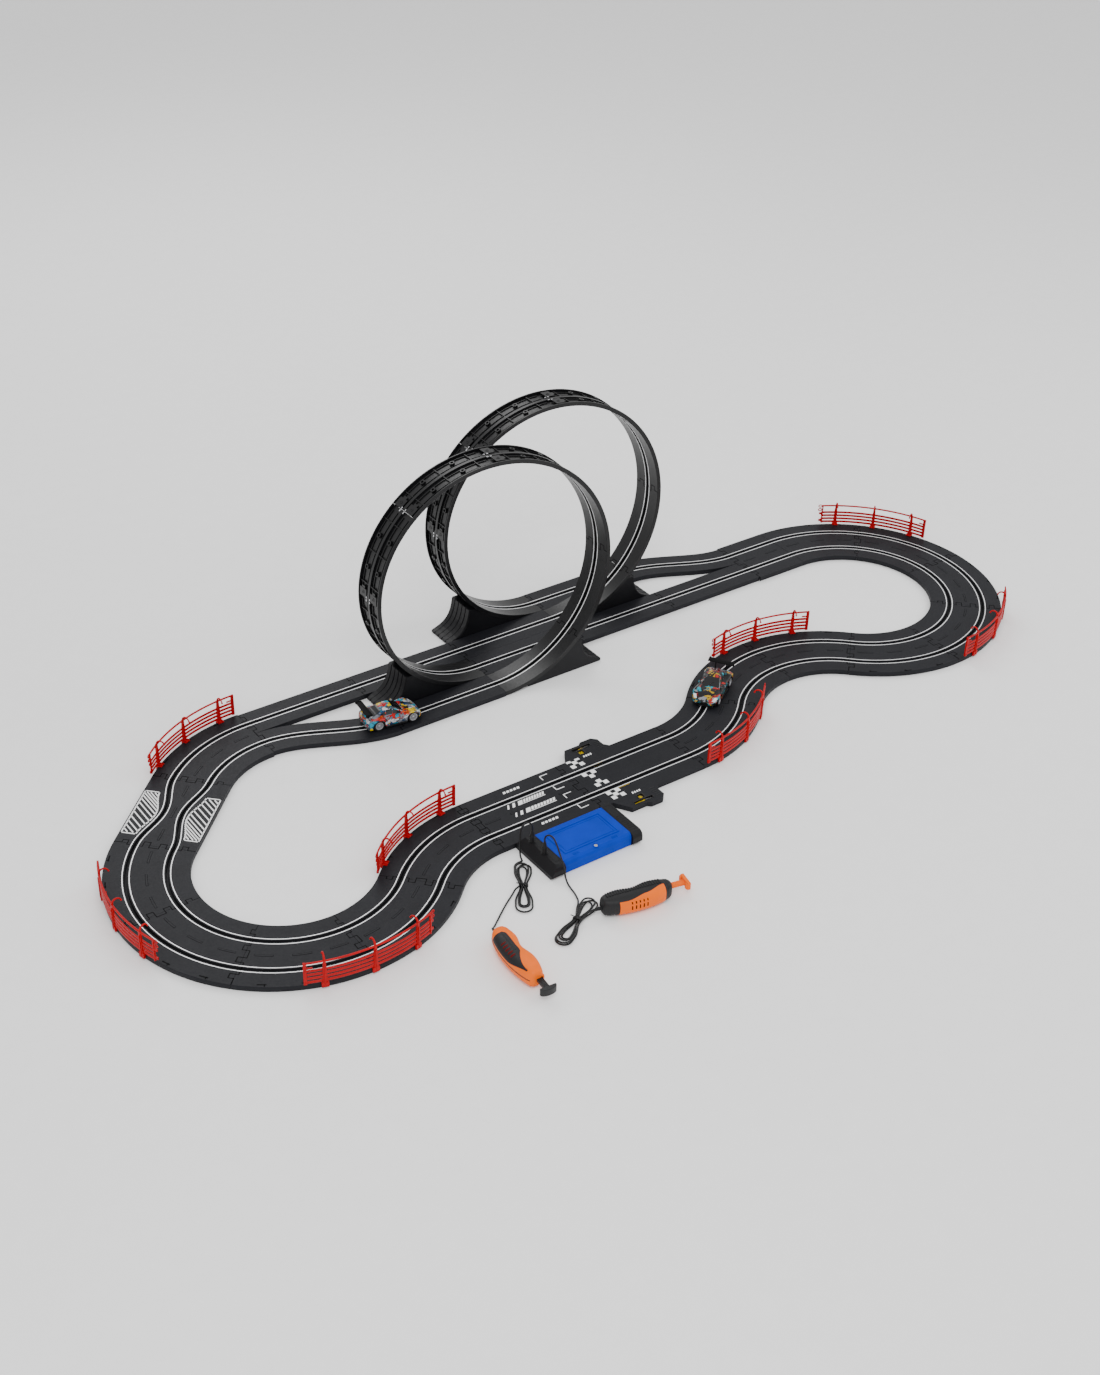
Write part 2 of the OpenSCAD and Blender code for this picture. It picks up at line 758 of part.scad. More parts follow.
module controller_body(p, c) {
    color(c) at_controller(p) {
        difference() {
            grip_form(0);
            intersection() {
                grip_form(wall);
                translate([5, -50, 0]) cube([grip_l - 12, 100, 100]);
            }
            panel_zone(0.15);
            plunger_way(0.4);
        }
        // sleeve that holds the cord
        translate([-relief_l, 0, grip_t / 2 - 3]) rotate([0, 90, 0]) difference() {
            cylinder(r1 = 1.9, r2 = 3.4, h = relief_l + 3);
            translate([0, 0, -1]) cylinder(r = 1.35, h = 6);
        }
    }
}

module controller_panel(p, c) {
    color(c) at_controller(p) difference() {
        intersection() {
            grip_form(0);
            panel_zone(0);
        }
        grip_form(wall);
        vent_slots();
    }
}

// A flat shaft with a cross-shaped head for the thumb
module controller_plunger(p, c) {
    color(c) at_controller(p) translate([grip_l, 4, grip_t / 2]) {
        translate([-plunger_in, -plunger_w / 2, -plunger_t / 2])
            cube([plunger_in + plunger_out, plunger_w, plunger_t]);
        translate([plunger_out - 1, -12, -6]) cube([4, 24, 12]);
    }
}

module controller_spring(p) {
    color("silver") at_controller(p)
        for (i = [0 : 5]) {
            translate([grip_l - plunger_in - 14 + 2.2 * i, 4, grip_t / 2]) rotate([0, 90, 0])
                difference() {
                    cylinder(r = 3, h = 1);
                    translate([0, 0, -1]) cylinder(r = 2.3, h = 3);
                }
        }
}

// ---- cords -----------------------------------------------------------------
cord_d = 2.6;
cord_z = cord_d / 2;
plug_top = box_h + 20;

// Plug: a ribbed grip above the socket and a pin inside it
module cord_plugs() {
    color([0.1, 0.1, 0.1]) for (y = plug_ys) {
        translate([plug_x, y, box_h - 11.5]) cylinder(r = jack_r, h = 12);
        translate([plug_x, y, box_h]) cylinder(r = 4, h = 12);
        translate([plug_x, y, box_h + 12]) cylinder(r1 = 3.4, r2 = 2, h = 8);
    }
}

// [centre x, centre y, heading, length, width] of the tied bundles
hank_1_shape = [-196, -140, 57, 112, 26];
hank_2_shape = [-176, -241, 29, 108, 26];
hank_h = 3 * cord_d;

module hank(h) {
    color([0.1, 0.1, 0.1]) translate([h[0], h[1], 0]) rotate([0, 0, h[2]]) linear_extrude(hank_h) {
        straight = h[3] - h[4];
        square([straight, h[4]], center = true);
        for (side = [-1, 1]) {
            translate([side * straight / 2, 0]) circle(d = h[4]);
        }
    }
}

// Routes of the free stretches: plug to bundle, then bundle to controller
cord_1_up = [[-143, -84, 41], [-143, -84, 47], [-144.5, -83.5, 53], [-149, -82.5, 57],
    [-154.5, -82, 57], [-159.5, -82, 53], [-162, -82.5, 46], [-163, -83, 34], [-163.5, -83.5, 22],
    [-164, -84.3, 12], [-164.8, -87, 6.4], [-165.8, -91, 4.3], [-167, -95, 3.9]];
cord_1_out = [[-209.6, -140.7, 3.9], [-214, -143, 2.8], [-220, -146.5, 1.3], [-230, -153, 1.3],
    [-243, -162, 1.3], [-257, -172.5, 1.3], [-268, -181, 1.3], [-277, -188.3, 2.2],
    [-283.5, -193.8, 5.4], [-287.2, -197.8, 9.6], [-288.6, -200.2, 11.7], [-288.95, -202.05, 12],
    [-289.39, -207.03, 12]];
cord_2_up = [[-143, -115, 41], [-143, -115, 47], [-141.5, -117, 52.5], [-139, -121.5, 55],
    [-137, -128, 53], [-136.5, -135, 46], [-137, -143, 37], [-138, -150, 30], [-139, -156, 22],
    [-139.5, -160, 13], [-140, -164, 6], [-141, -170, 1.8], [-143, -180, 1.3], [-145, -192, 1.3],
    [-149, -205, 1.3], [-152.5, -210.5, 1.6], [-157, -215.5, 2.8], [-161.4, -220.3, 3.9]];
cord_2_out = [[-184.8, -254.1, 4.2], [-178, -249.9, 5.6], [-170.6, -246.7, 8],
    [-163.4, -245.2, 10.6], [-157.8, -244.9, 11.8], [-152.76, -245.61, 12], [-147.86, -246.6, 12]];

function unit(v) = v / norm(v);

// Round tube through the given points, with a ring square to the route at each
module tube(points, d, sides = 8) {
    n = len(points);
    dirs = [for (i = [0 : n - 1]) unit(points[min(i + 1, n - 1)] - points[max(i - 1, 0)])];
    rings = [for (i = [0 : n - 1])
        let (side = unit(cross(dirs[i], abs(dirs[i][2]) > 0.9 ? [1, 0, 0] : [0, 0, 1])),
            up = cross(side, dirs[i]))
        for (k = [0 : sides - 1]) let (a = 360 * (k + 0.5) / sides)
            points[i] + d / 2 * (cos(a) * side + sin(a) * up)];
    skin = [for (i = [0 : n - 2], k = [0 : sides - 1])
        [i * sides + k, (i + 1) * sides + k, (i + 1) * sides + (k + 1) % sides,
            i * sides + (k + 1) % sides]];
    first = [for (k = [0 : sides - 1]) k];
    last = [for (k = [sides - 1 : -1 : 0]) (n - 1) * sides + k];
    polyhedron(rings, concat(skin, [first, last]), convexity = 6);
}

module cord(routes) {
    color([0.1, 0.1, 0.1]) for (route = routes) {
        tube(route, cord_d);
    }
}

// ---- cars ------------------------------------------------------------------
// A car's own frame: x forward from midway between its axles, z up from the
// running surface. The guide's pin is ahead of the front axle.
axle_r = 1;
axle_clear = 0.05;
axle_z = tyre_d / 2;
guide_x = wheelbase / 2 + 8;
tyre_w = 8;
hub_r = 6;
tyre_lift = 0.15;
deck_z = 4.2;
deck_t = 1.6;
shell_z = 6;
crown_teeth = 24;
crown_r = 6;
pinion_teeth = 8;
pinion_r = 2;
tooth_t = 0.45;
guide_pin_r = 1.5;

// Place of each guide and heading of each car
guide_1 = [-105, lane_a];
heading_1 = -6.7;
arc_2 = -50.4;
guide_2 = [lap_l + (curve_r - lane_y) * cos(arc_2), curve_r + (curve_r - lane_y) * sin(arc_2)];
heading_2 = 213;
guide_heading_2 = arc_2 - 90;

module at_car(n) {
    g = n == 1 ? guide_1 : guide_2;
    h = n == 1 ? heading_1 : heading_2;
    translate([g[0], g[1], track_h + tyre_lift]) rotate([0, 0, h]) translate([-guide_x, 0, 0])
        children();
}

// Side view of the body: nose, bonnet, screen, roof and tail
module car_side(inset) {
    front = wheelbase / 2 + 14 - inset;
    rear = -wheelbase / 2 - 15 + inset;
    polygon([[rear, 3 + inset], [front - 1, 3 + inset], [front, 6], [front - 2, 12 - inset],
        [front - 10, 16.5 - inset], [14 - inset, 19.5 - inset], [6 - inset, 24.5 - inset],
        [-2, 28 - inset], [-14, 28.4 - inset], [-24 + inset, 25 - inset], [rear + 4, 20.5 - inset],
        [rear, 17 - inset]]);
}

module car_plan(inset) {
    front = wheelbase / 2 + 14 - inset;
    rear = -wheelbase / 2 - 15 + inset;
    half = car_w / 2 + 1 - inset;
    polygon([[rear, -half + 3], [rear + 4, -half], [-8, -half + 1], [20, -half], [front - 6, -half + 3],
        [front, -half + 11], [front, half - 11], [front - 6, half - 3], [20, half], [-8, half - 1],
        [rear + 4, half], [rear, half - 3]]);
}

// Front view: sides lean in above the waist
module car_front(inset) {
    half = car_w / 2 + 1 - inset;
    polygon([[-half, 0], [half, 0], [half, 15], [half - 2, 18.5], [half - 7, 27], [half - 11, 29 - inset],
        [-half + 11, 29 - inset], [-half + 7, 27], [-half + 2, 18.5], [-half, 15]]);
}

module car_form(inset) {
    intersection() {
        upright(car_w + 2) car_side(inset);
        linear_extrude(40) car_plan(inset);
        translate([-60, 0, 0]) rotate([90, 0, 90]) linear_extrude(120) car_front(inset);
    }
}

// Windscreen, side windows and rear window
module window_cuts() {
    translate([7, -13, 19.2]) rotate([0, 28, 0]) cube([7, 26, 8]);
    for (side = [-1, 1]) {
        translate([0, side * 25, 0]) rotate([90, 0, 0]) translate([0, 0, side > 0 ? 0 : -14])
            linear_extrude(14) polygon([[-20, 19.5], [9, 19.5], [1, 25], [-15, 25]]);
    }
    translate([-26, -12, 19.5]) cube([5, 24, 7]);
}

module car_shell(n, c) {
    color(c) at_car(n) difference() {
        car_form(0);
        difference() {
            car_form(1.4);
            // the floor of the form stays open
            translate([-100, -50, -10]) cube([200, 100, 3]);
        }
        translate([-100, -50, shell_z - 8]) cube([200, 100, 8]);
        for (x = [-1, 1] * wheelbase / 2, side = [-1, 1]) {
            translate([x, side * (car_w / 2 - 4), axle_z]) rotate([90, 0, 0])
                cylinder(r = tyre_d / 2 + 1.4, h = 14, center = true);
        }
        window_cuts();
    }
}

module car_windows(n) {
    color([0.08, 0.08, 0.1]) at_car(n) intersection() {
        difference() {
            car_form(1.45);
            car_form(2.3);
        }
        translate([-34, -18, 18.6]) cube([50, 36, 12]);
    }
}

module car_wing(n) {
    color([0.08, 0.08, 0.1]) at_car(n) translate([-wheelbase / 2 - 13, 0, 0]) {
        translate([-6, -20, 30]) cube([10, 40, 1.4]);
        for (side = [-1, 1]) {
            translate([-6, side * 20 - 0.6, 28]) cube([10, 1.2, 5]);
            translate([-1, side * 9 - 1, 18.4]) cube([3, 2, 11.7]);
        }
    }
}

// Floor pan with bearing blocks for the axles and a boss for the guide
module car_chassis(n) {
    half = car_w / 2 - tyre_w - 1.2;
    color([0.12, 0.12, 0.13]) at_car(n) difference() {
        union() {
            translate([-wheelbase / 2 - 9, -half, deck_z]) cube([wheelbase + 20, 2 * half, deck_t]);
            // tabs that carry the shell
            translate([-14, -car_w / 2, deck_z]) cube([30, car_w, shell_z - deck_z]);
            for (x = [-1, 1] * wheelbase / 2, side = [-1, 1]) {
                translate([x - 3, side * (half - 1.5) - 1.5, deck_z]) cube([6, 3, axle_z - deck_z + 3]);
            }
            translate([guide_x, 0, deck_z]) cylinder(r = 4, h = 5);
        }
        for (x = [-1, 1] * wheelbase / 2) {
            translate([x, 0, axle_z]) rotate([90, 0, 0])
                cylinder(r = axle_r + axle_clear, h = 80, center = true);
        }
        translate([guide_x, 0, 0]) cylinder(r = guide_pin_r + 0.08, h = 30);
        // opening under the crown gear
        translate([-wheelbase / 2 - 7.5, -7.5, 0]) cube([17, 12, 20]);
    }
}

// Flat-sided can motor lying along the car, with its shaft towards the rear axle
module car_motor(n) {
    shaft_end = -wheelbase / 2 + crown_r - 1.7;
    color("silver") at_car(n) translate([0, 0, axle_z]) rotate([0, 90, 0]) {
        translate([0, 0, -12]) intersection() {
            cylinder(r = 7.5, h = 20);
            translate([-5, -10, 0]) cube([4.9 + axle_z - shell_z, 20, 20]);
        }
        translate([0, 0, shaft_end]) cylinder(r = 0.5, h = -12 - shaft_end);
    }
}

module teeth(count, r0, r1, h) {
    for (i = [0 : count - 1]) {
        rotate([0, 0, 360 * i / count]) translate([r0, -tooth_t / 2, 0]) cube([r1 - r0, tooth_t, h]);
    }
}

module car_pinion(n) {
    color("ivory") at_car(n) translate([-wheelbase / 2 + crown_r - 1.5, 0, axle_z])
        rotate([0, 90, 0]) rotate([0, 0, 90]) difference() {
            union() {
                cylinder(r = pinion_r - 0.6, h = 3.4);
                teeth(pinion_teeth, 1, pinion_r + 0.4, 3.4);
            }
            translate([0, 0, -1]) cylinder(r = 0.5 + 0.04, h = 6);
        }
}

// Crown gear on the rear axle: its teeth stand on the face towards the pinion
module car_crown_gear(n) {
    face = -pinion_r - 0.55;
    color("ivory") at_car(n) translate([-wheelbase / 2, 0, axle_z]) {
        translate([0, face, 0]) rotate([90, 0, 0]) difference() {
            union() {
                cylinder(r = crown_r + 0.9, h = 1.6);
                cylinder(r = 3, h = 3.2);
                translate([0, 0, -1]) rotate([0, 0, 180 / crown_teeth])
                    teeth(crown_teeth, crown_r - 1.2, crown_r + 0.9, 1.4);
            }
            translate([0, 0, -3]) cylinder(r = axle_r, h = 12);
        }
    }
}

module car_axle(n, x) {
    color("silver") at_car(n) translate([x, 0, axle_z]) rotate([90, 0, 0])
        cylinder(r = axle_r, h = car_w - 3, center = true);
}

// Two wheels: a spoked hub on the axle inside a rubber tyre
module car_wheels(n, x) {
    color([0.8, 0.8, 0.82]) at_car(n) for (side = [-1, 1]) {
        translate([x, side * (car_w / 2 - tyre_w / 2), axle_z]) rotate([-90 * side, 0, 0])
            translate([0, 0, -tyre_w / 2]) difference() {
                union() {
                    difference() {
                        cylinder(d = tyre_d, h = tyre_w);
                        translate([0, 0, 2]) cylinder(r = hub_r, h = tyre_w);
                    }
                    cylinder(r = 2.4, h = tyre_w - 1);
                    for (a = [0 : 72 : 288]) {
                        rotate([0, 0, a]) translate([1, -0.9, 1]) cube([hub_r - 0.8, 1.8, tyre_w - 3]);
                    }
                }
                translate([0, 0, -1]) cylinder(r = axle_r, h = tyre_w - 1);
            }
    }
}

// The guide's blade runs in the slot, and its flag carries the contact braids
module car_guide(n) {
    g = n == 1 ? guide_1 : guide_2;
    h = n == 1 ? 0 : guide_heading_2;
    color([0.12, 0.12, 0.13]) translate([g[0], g[1], track_h]) rotate([0, 0, h]) {
        translate([0, 0, 1]) cylinder(r = guide_pin_r, h = 9.2);
        translate([-7, -4, 1.4]) cube([13, 8, 1.4]);
        translate([-7, -0.9, -4.4]) cube([13, 1.8, 6]);
    }
}

start_piece();
lap_counter_piece();
left_curves();
right_curves();
chicane_piece();
half_straight();
lane_straights();
lane_s_curves();
loop(near_x, lane_a, 1);  // near_loop
loop(far_x, lane_c, -1);  // far_loop
loop_supports();
contact_rails();
fences(left_fence_places);  // left_fences
fences(right_fence_places);  // right_fences
battery_base();
battery_lid();
lid_screw();
batteries();
battery_contacts();
lap_dial(1);  // near_lap_dial
lap_dial(0);  // far_lap_dial
lap_lever(1);  // near_lap_lever
lap_lever(0);  // far_lap_lever
controller_body(controller_1_place, "darkorange");  // controller_1_body
controller_panel(controller_1_place, charcoal);  // controller_1_panel
controller_plunger(controller_1_place, charcoal);  // controller_1_plunger
controller_spring(controller_1_place);  // controller_1_spring
controller_body(controller_2_place, charcoal);  // controller_2_body
controller_panel(controller_2_place, "darkorange");  // controller_2_panel
controller_plunger(controller_2_place, "darkorange");  // controller_2_plunger
controller_spring(controller_2_place);  // controller_2_spring
cord_plugs();
cord([cord_1_up, cord_1_out]);  // cord_1
hank(hank_1_shape);  // hank_1
cord([cord_2_up, cord_2_out]);  // cord_2
hank(hank_2_shape);  // hank_2
car_shell(1, [0.2, 0.65, 0.75]);  // car_1_shell
car_windows(1);  // car_1_windows
car_wing(1);  // car_1_wing
car_chassis(1);  // car_1_chassis
car_motor(1);  // car_1_motor
car_pinion(1);  // car_1_pinion
car_crown_gear(1);  // car_1_crown_gear
car_axle(1, wheelbase / 2);  // car_1_front_axle
car_axle(1, -wheelbase / 2);  // car_1_rear_axle
car_wheels(1, wheelbase / 2);  // car_1_front_wheels
car_wheels(1, -wheelbase / 2);  // car_1_rear_wheels
car_guide(1);  // car_1_guide
car_shell(2, [0.15, 0.15, 0.16]);  // car_2_shell
car_windows(2);  // car_2_windows
car_wing(2);  // car_2_wing
car_chassis(2);  // car_2_chassis
car_motor(2);  // car_2_motor
car_pinion(2);  // car_2_pinion
car_crown_gear(2);  // car_2_crown_gear
car_axle(2, wheelbase / 2);  // car_2_front_axle
car_axle(2, -wheelbase / 2);  // car_2_rear_axle
car_wheels(2, wheelbase / 2);  // car_2_front_wheels
car_wheels(2, -wheelbase / 2);  // car_2_rear_wheels
car_guide(2);  // car_2_guide
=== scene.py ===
"""Looks of the slot car track set: materials, markings, seams, fences, loops, cars, controllers and cords.

Lengths in the constants are millimetres, as in the CAD, and MM turns them into Blender's metres.
"""

import math

import bmesh
import bpy
from mathutils import Matrix, Vector


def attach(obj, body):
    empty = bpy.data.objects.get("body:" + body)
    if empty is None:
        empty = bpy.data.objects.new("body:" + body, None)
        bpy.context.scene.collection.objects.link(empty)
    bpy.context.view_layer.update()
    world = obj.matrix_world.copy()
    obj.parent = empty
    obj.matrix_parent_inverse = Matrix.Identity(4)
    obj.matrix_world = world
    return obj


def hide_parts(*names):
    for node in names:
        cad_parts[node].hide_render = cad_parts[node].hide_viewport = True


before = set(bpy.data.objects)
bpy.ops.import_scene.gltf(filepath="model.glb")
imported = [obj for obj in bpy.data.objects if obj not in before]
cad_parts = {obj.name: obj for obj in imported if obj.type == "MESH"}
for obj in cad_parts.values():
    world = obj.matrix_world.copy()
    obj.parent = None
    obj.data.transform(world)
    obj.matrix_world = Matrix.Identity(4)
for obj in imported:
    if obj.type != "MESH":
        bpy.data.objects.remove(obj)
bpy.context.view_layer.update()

MM = 0.001

# ---- the circuit's layout, as in the CAD ------------------------------------
CURVE_R = 194.5
TRACK_W = 122.0
TOP = 8.0
START_L = 175.5
LAP_L = 193.5
STRAIGHT_L = 195.5
LANE_W = 58.7
LANE_PITCH = 57.0
LANE_SHIFT = 59.0
SQUEEZE = 14.5
LOOP_R = 196.0
LOOP_PIECES = 8
LOOP_SKIRT = 7.0
SEAM = 0.15
S45 = math.sqrt(0.5)
LANE_Y = LANE_PITCH / 2
LANE_OFFSET = (LANE_W - LANE_PITCH) / 2 + SEAM
BACK_Y = 2 * CURVE_R
CHICANE_L = 2 * CURVE_R * (math.sqrt(2) - 1)
LEFT_X = -START_L - 2 * CURVE_R * S45 + CHICANE_L * S45
RIGHT_X = LAP_L + 4 * CURVE_R * S45
HALF_L = RIGHT_X - LEFT_X - 5 * STRAIGHT_L
NEAR_X = LEFT_X + 2 * STRAIGHT_L
FAR_X = LEFT_X + 3 * STRAIGHT_L
SPLIT_X = RIGHT_X - HALF_L
LANE_A = BACK_Y - LANE_Y - LANE_SHIFT
LANE_B = BACK_Y - LANE_Y
LANE_C = BACK_Y + LANE_Y
LANE_D = BACK_Y + LANE_Y + LANE_SHIFT


# ---- camera ------------------------------------------------------------------
CAMERA_AZIMUTH = -36.111
CAMERA_ELEVATION = 33.558
CAMERA_ROLL = 1.616
CAMERA_TARGET = (117.9, 244.98, 8.0)
CAMERA_DISTANCE = 3047.6
CAMERA_LENS = 49.27
CAMERA_SHIFT_X = 0.00135


def add_camera():
    azimuth = math.radians(CAMERA_AZIMUTH)
    elevation = math.radians(CAMERA_ELEVATION)
    roll = math.radians(CAMERA_ROLL)
    back = Vector((
        math.sin(azimuth) * math.cos(elevation),
        -math.cos(azimuth) * math.cos(elevation),
        math.sin(elevation),
    ))
    level = Vector((math.cos(azimuth), math.sin(azimuth), 0))
    up = back.cross(level)
    right = level * math.cos(roll) + up * math.sin(roll)
    up = up * math.cos(roll) - level * math.sin(roll)
    data = bpy.data.cameras.new("camera")
    data.lens = CAMERA_LENS
    data.shift_x = CAMERA_SHIFT_X
    data.clip_end = 50
    camera = bpy.data.objects.new("camera", data)
    bpy.context.scene.collection.objects.link(camera)
    place = (Vector(CAMERA_TARGET) + back * CAMERA_DISTANCE) * MM
    camera.matrix_world = Matrix.Translation(place) @ Matrix((right, up, back)).transposed().to_4x4()
    bpy.context.scene.camera = camera


# ---- materials ---------------------------------------------------------------
GLOSS_DRIFT = 0.07
GRAIN_DEPTH = 0.0002
PAINT_DEPTH = 0.0001


def new_material(name):
    material = bpy.data.materials.new(name)
    material.use_nodes = True
    return material, material.node_tree.nodes, material.node_tree.links


def add_noise(nodes, links, coordinates, scale, detail=2.0, roughness=0.5):
    noise = nodes.new("ShaderNodeTexNoise")
    tune(noise, {"Scale": scale, "Detail": detail, "Roughness": roughness})
    links.new(coordinates, noise.inputs["Vector"])
    return noise.outputs["Fac"]


def add_ramp(nodes, links, factor, stops, constant=False):
    ramp = nodes.new("ShaderNodeValToRGB")
    if constant:
        ramp.color_ramp.interpolation = "CONSTANT"
    elements = ramp.color_ramp.elements
    while len(elements) < len(stops):
        elements.new(0.5)
    for element, (position, colour) in zip(elements, stops):
        element.position = position
        element.color = (*colour, 1)
    links.new(factor, ramp.inputs["Fac"])
    return ramp.outputs["Color"]


def shade(colour, factor):
    return tuple(min(1.0, c * factor) for c in colour)


def tune(node, values):
    """Sets a node's inputs from their names."""
    for key, value in values.items():
        node.inputs[key].default_value = value


def add_bump(nodes, links, shader, height, strength, distance):
    bump = nodes.new("ShaderNodeBump")
    tune(bump, {"Strength": strength, "Distance": distance})
    links.new(height, bump.inputs["Height"])
    links.new(bump.outputs["Normal"], shader.inputs["Normal"])


def plastic(name, colour, roughness=0.5, grain=2600.0, bump=0.12, variation=0.12, coat=0.0, metallic=0.0,
            specular=0.4):
    """Moulded material: slight colour drift, uneven gloss and a fine grain."""
    material, nodes, links = new_material(name)
    shader = nodes["Principled BSDF"]
    coordinates = nodes.new("ShaderNodeTexCoord").outputs["Object"]
    drift = add_noise(nodes, links, coordinates, scale=35, detail=3)
    spots = add_noise(nodes, links, coordinates, scale=420, detail=3, roughness=0.65)
    tint = add_ramp(nodes, links, drift, [
        (0.3, shade(colour, 1 - variation)), (0.7, shade(colour, 1 + variation))])
    links.new(tint, shader.inputs["Base Color"])
    gloss = nodes.new("ShaderNodeMapRange")
    tune(gloss, {
        "From Min": 0.3, "From Max": 0.7,
        "To Min": max(0.02, roughness - GLOSS_DRIFT), "To Max": min(1, roughness + GLOSS_DRIFT)})
    links.new(spots, gloss.inputs["Value"])
    links.new(gloss.outputs["Result"], shader.inputs["Roughness"])
    add_bump(nodes, links, shader, add_noise(nodes, links, coordinates, grain, 2), bump, GRAIN_DEPTH)
    shader.inputs["Metallic"].default_value = metallic
    shader.inputs["Specular IOR Level"].default_value = specular
    shader.inputs["Coat Weight"].default_value = coat
    shader.inputs["Coat Roughness"].default_value = 0.12
    return material


def livery(name, colours, scale, dark):
    """Printed graphics: bands and blots of colour with thin dark outlines."""
    material, nodes, links = new_material(name)
    shader = nodes["Principled BSDF"]
    coordinates = nodes.new("ShaderNodeTexCoord").outputs["Object"]
    stretch = nodes.new("ShaderNodeMapping")
    tune(stretch, {"Scale": (1, 1.4, 1.9), "Rotation": (0.4, 0.7, 0.5)})
    links.new(coordinates, stretch.inputs["Vector"])
    warp = nodes.new("ShaderNodeTexNoise")
    warp.inputs["Scale"].default_value = scale * 0.8
    links.new(stretch.outputs["Vector"], warp.inputs["Vector"])
    mix = nodes.new("ShaderNodeMix")
    mix.data_type = "VECTOR"
    mix.inputs["Factor"].default_value = 0.035
    links.new(stretch.outputs["Vector"], mix.inputs[4])
    links.new(warp.outputs["Color"], mix.inputs[5])
    cells = nodes.new("ShaderNodeTexVoronoi")
    cells.inputs["Scale"].default_value = scale
    links.new(mix.outputs[1], cells.inputs["Vector"])
    pick = nodes.new("ShaderNodeSeparateColor")
    links.new(cells.outputs["Color"], pick.inputs["Color"])
    stops = [(i / len(colours), colour) for i, colour in enumerate(colours)]
    paint = add_ramp(nodes, links, pick.outputs["Red"], stops, constant=True)
    edges = nodes.new("ShaderNodeTexVoronoi")
    edges.feature = "DISTANCE_TO_EDGE"
    edges.inputs["Scale"].default_value = scale
    links.new(mix.outputs[1], edges.inputs["Vector"])
    line = add_ramp(nodes, links, edges.outputs["Distance"], [(0.0, (0, 0, 0)), (0.035, (1, 1, 1))], True)
    blend = nodes.new("ShaderNodeMix")
    blend.data_type = "RGBA"
    links.new(line, blend.inputs[0])
    blend.inputs[6].default_value = (*dark, 1)
    links.new(paint, blend.inputs[7])
    links.new(blend.outputs[2], shader.inputs["Base Color"])
    add_bump(nodes, links, shader, add_noise(nodes, links, coordinates, 1500), 0.04, PAINT_DEPTH)
    shader.inputs["Roughness"].default_value = 0.32
    shader.inputs["Specular IOR Level"].default_value = 0.2
    shader.inputs["Coat Weight"].default_value = 0.2
    shader.inputs["Coat Roughness"].default_value = 0.1
    return material


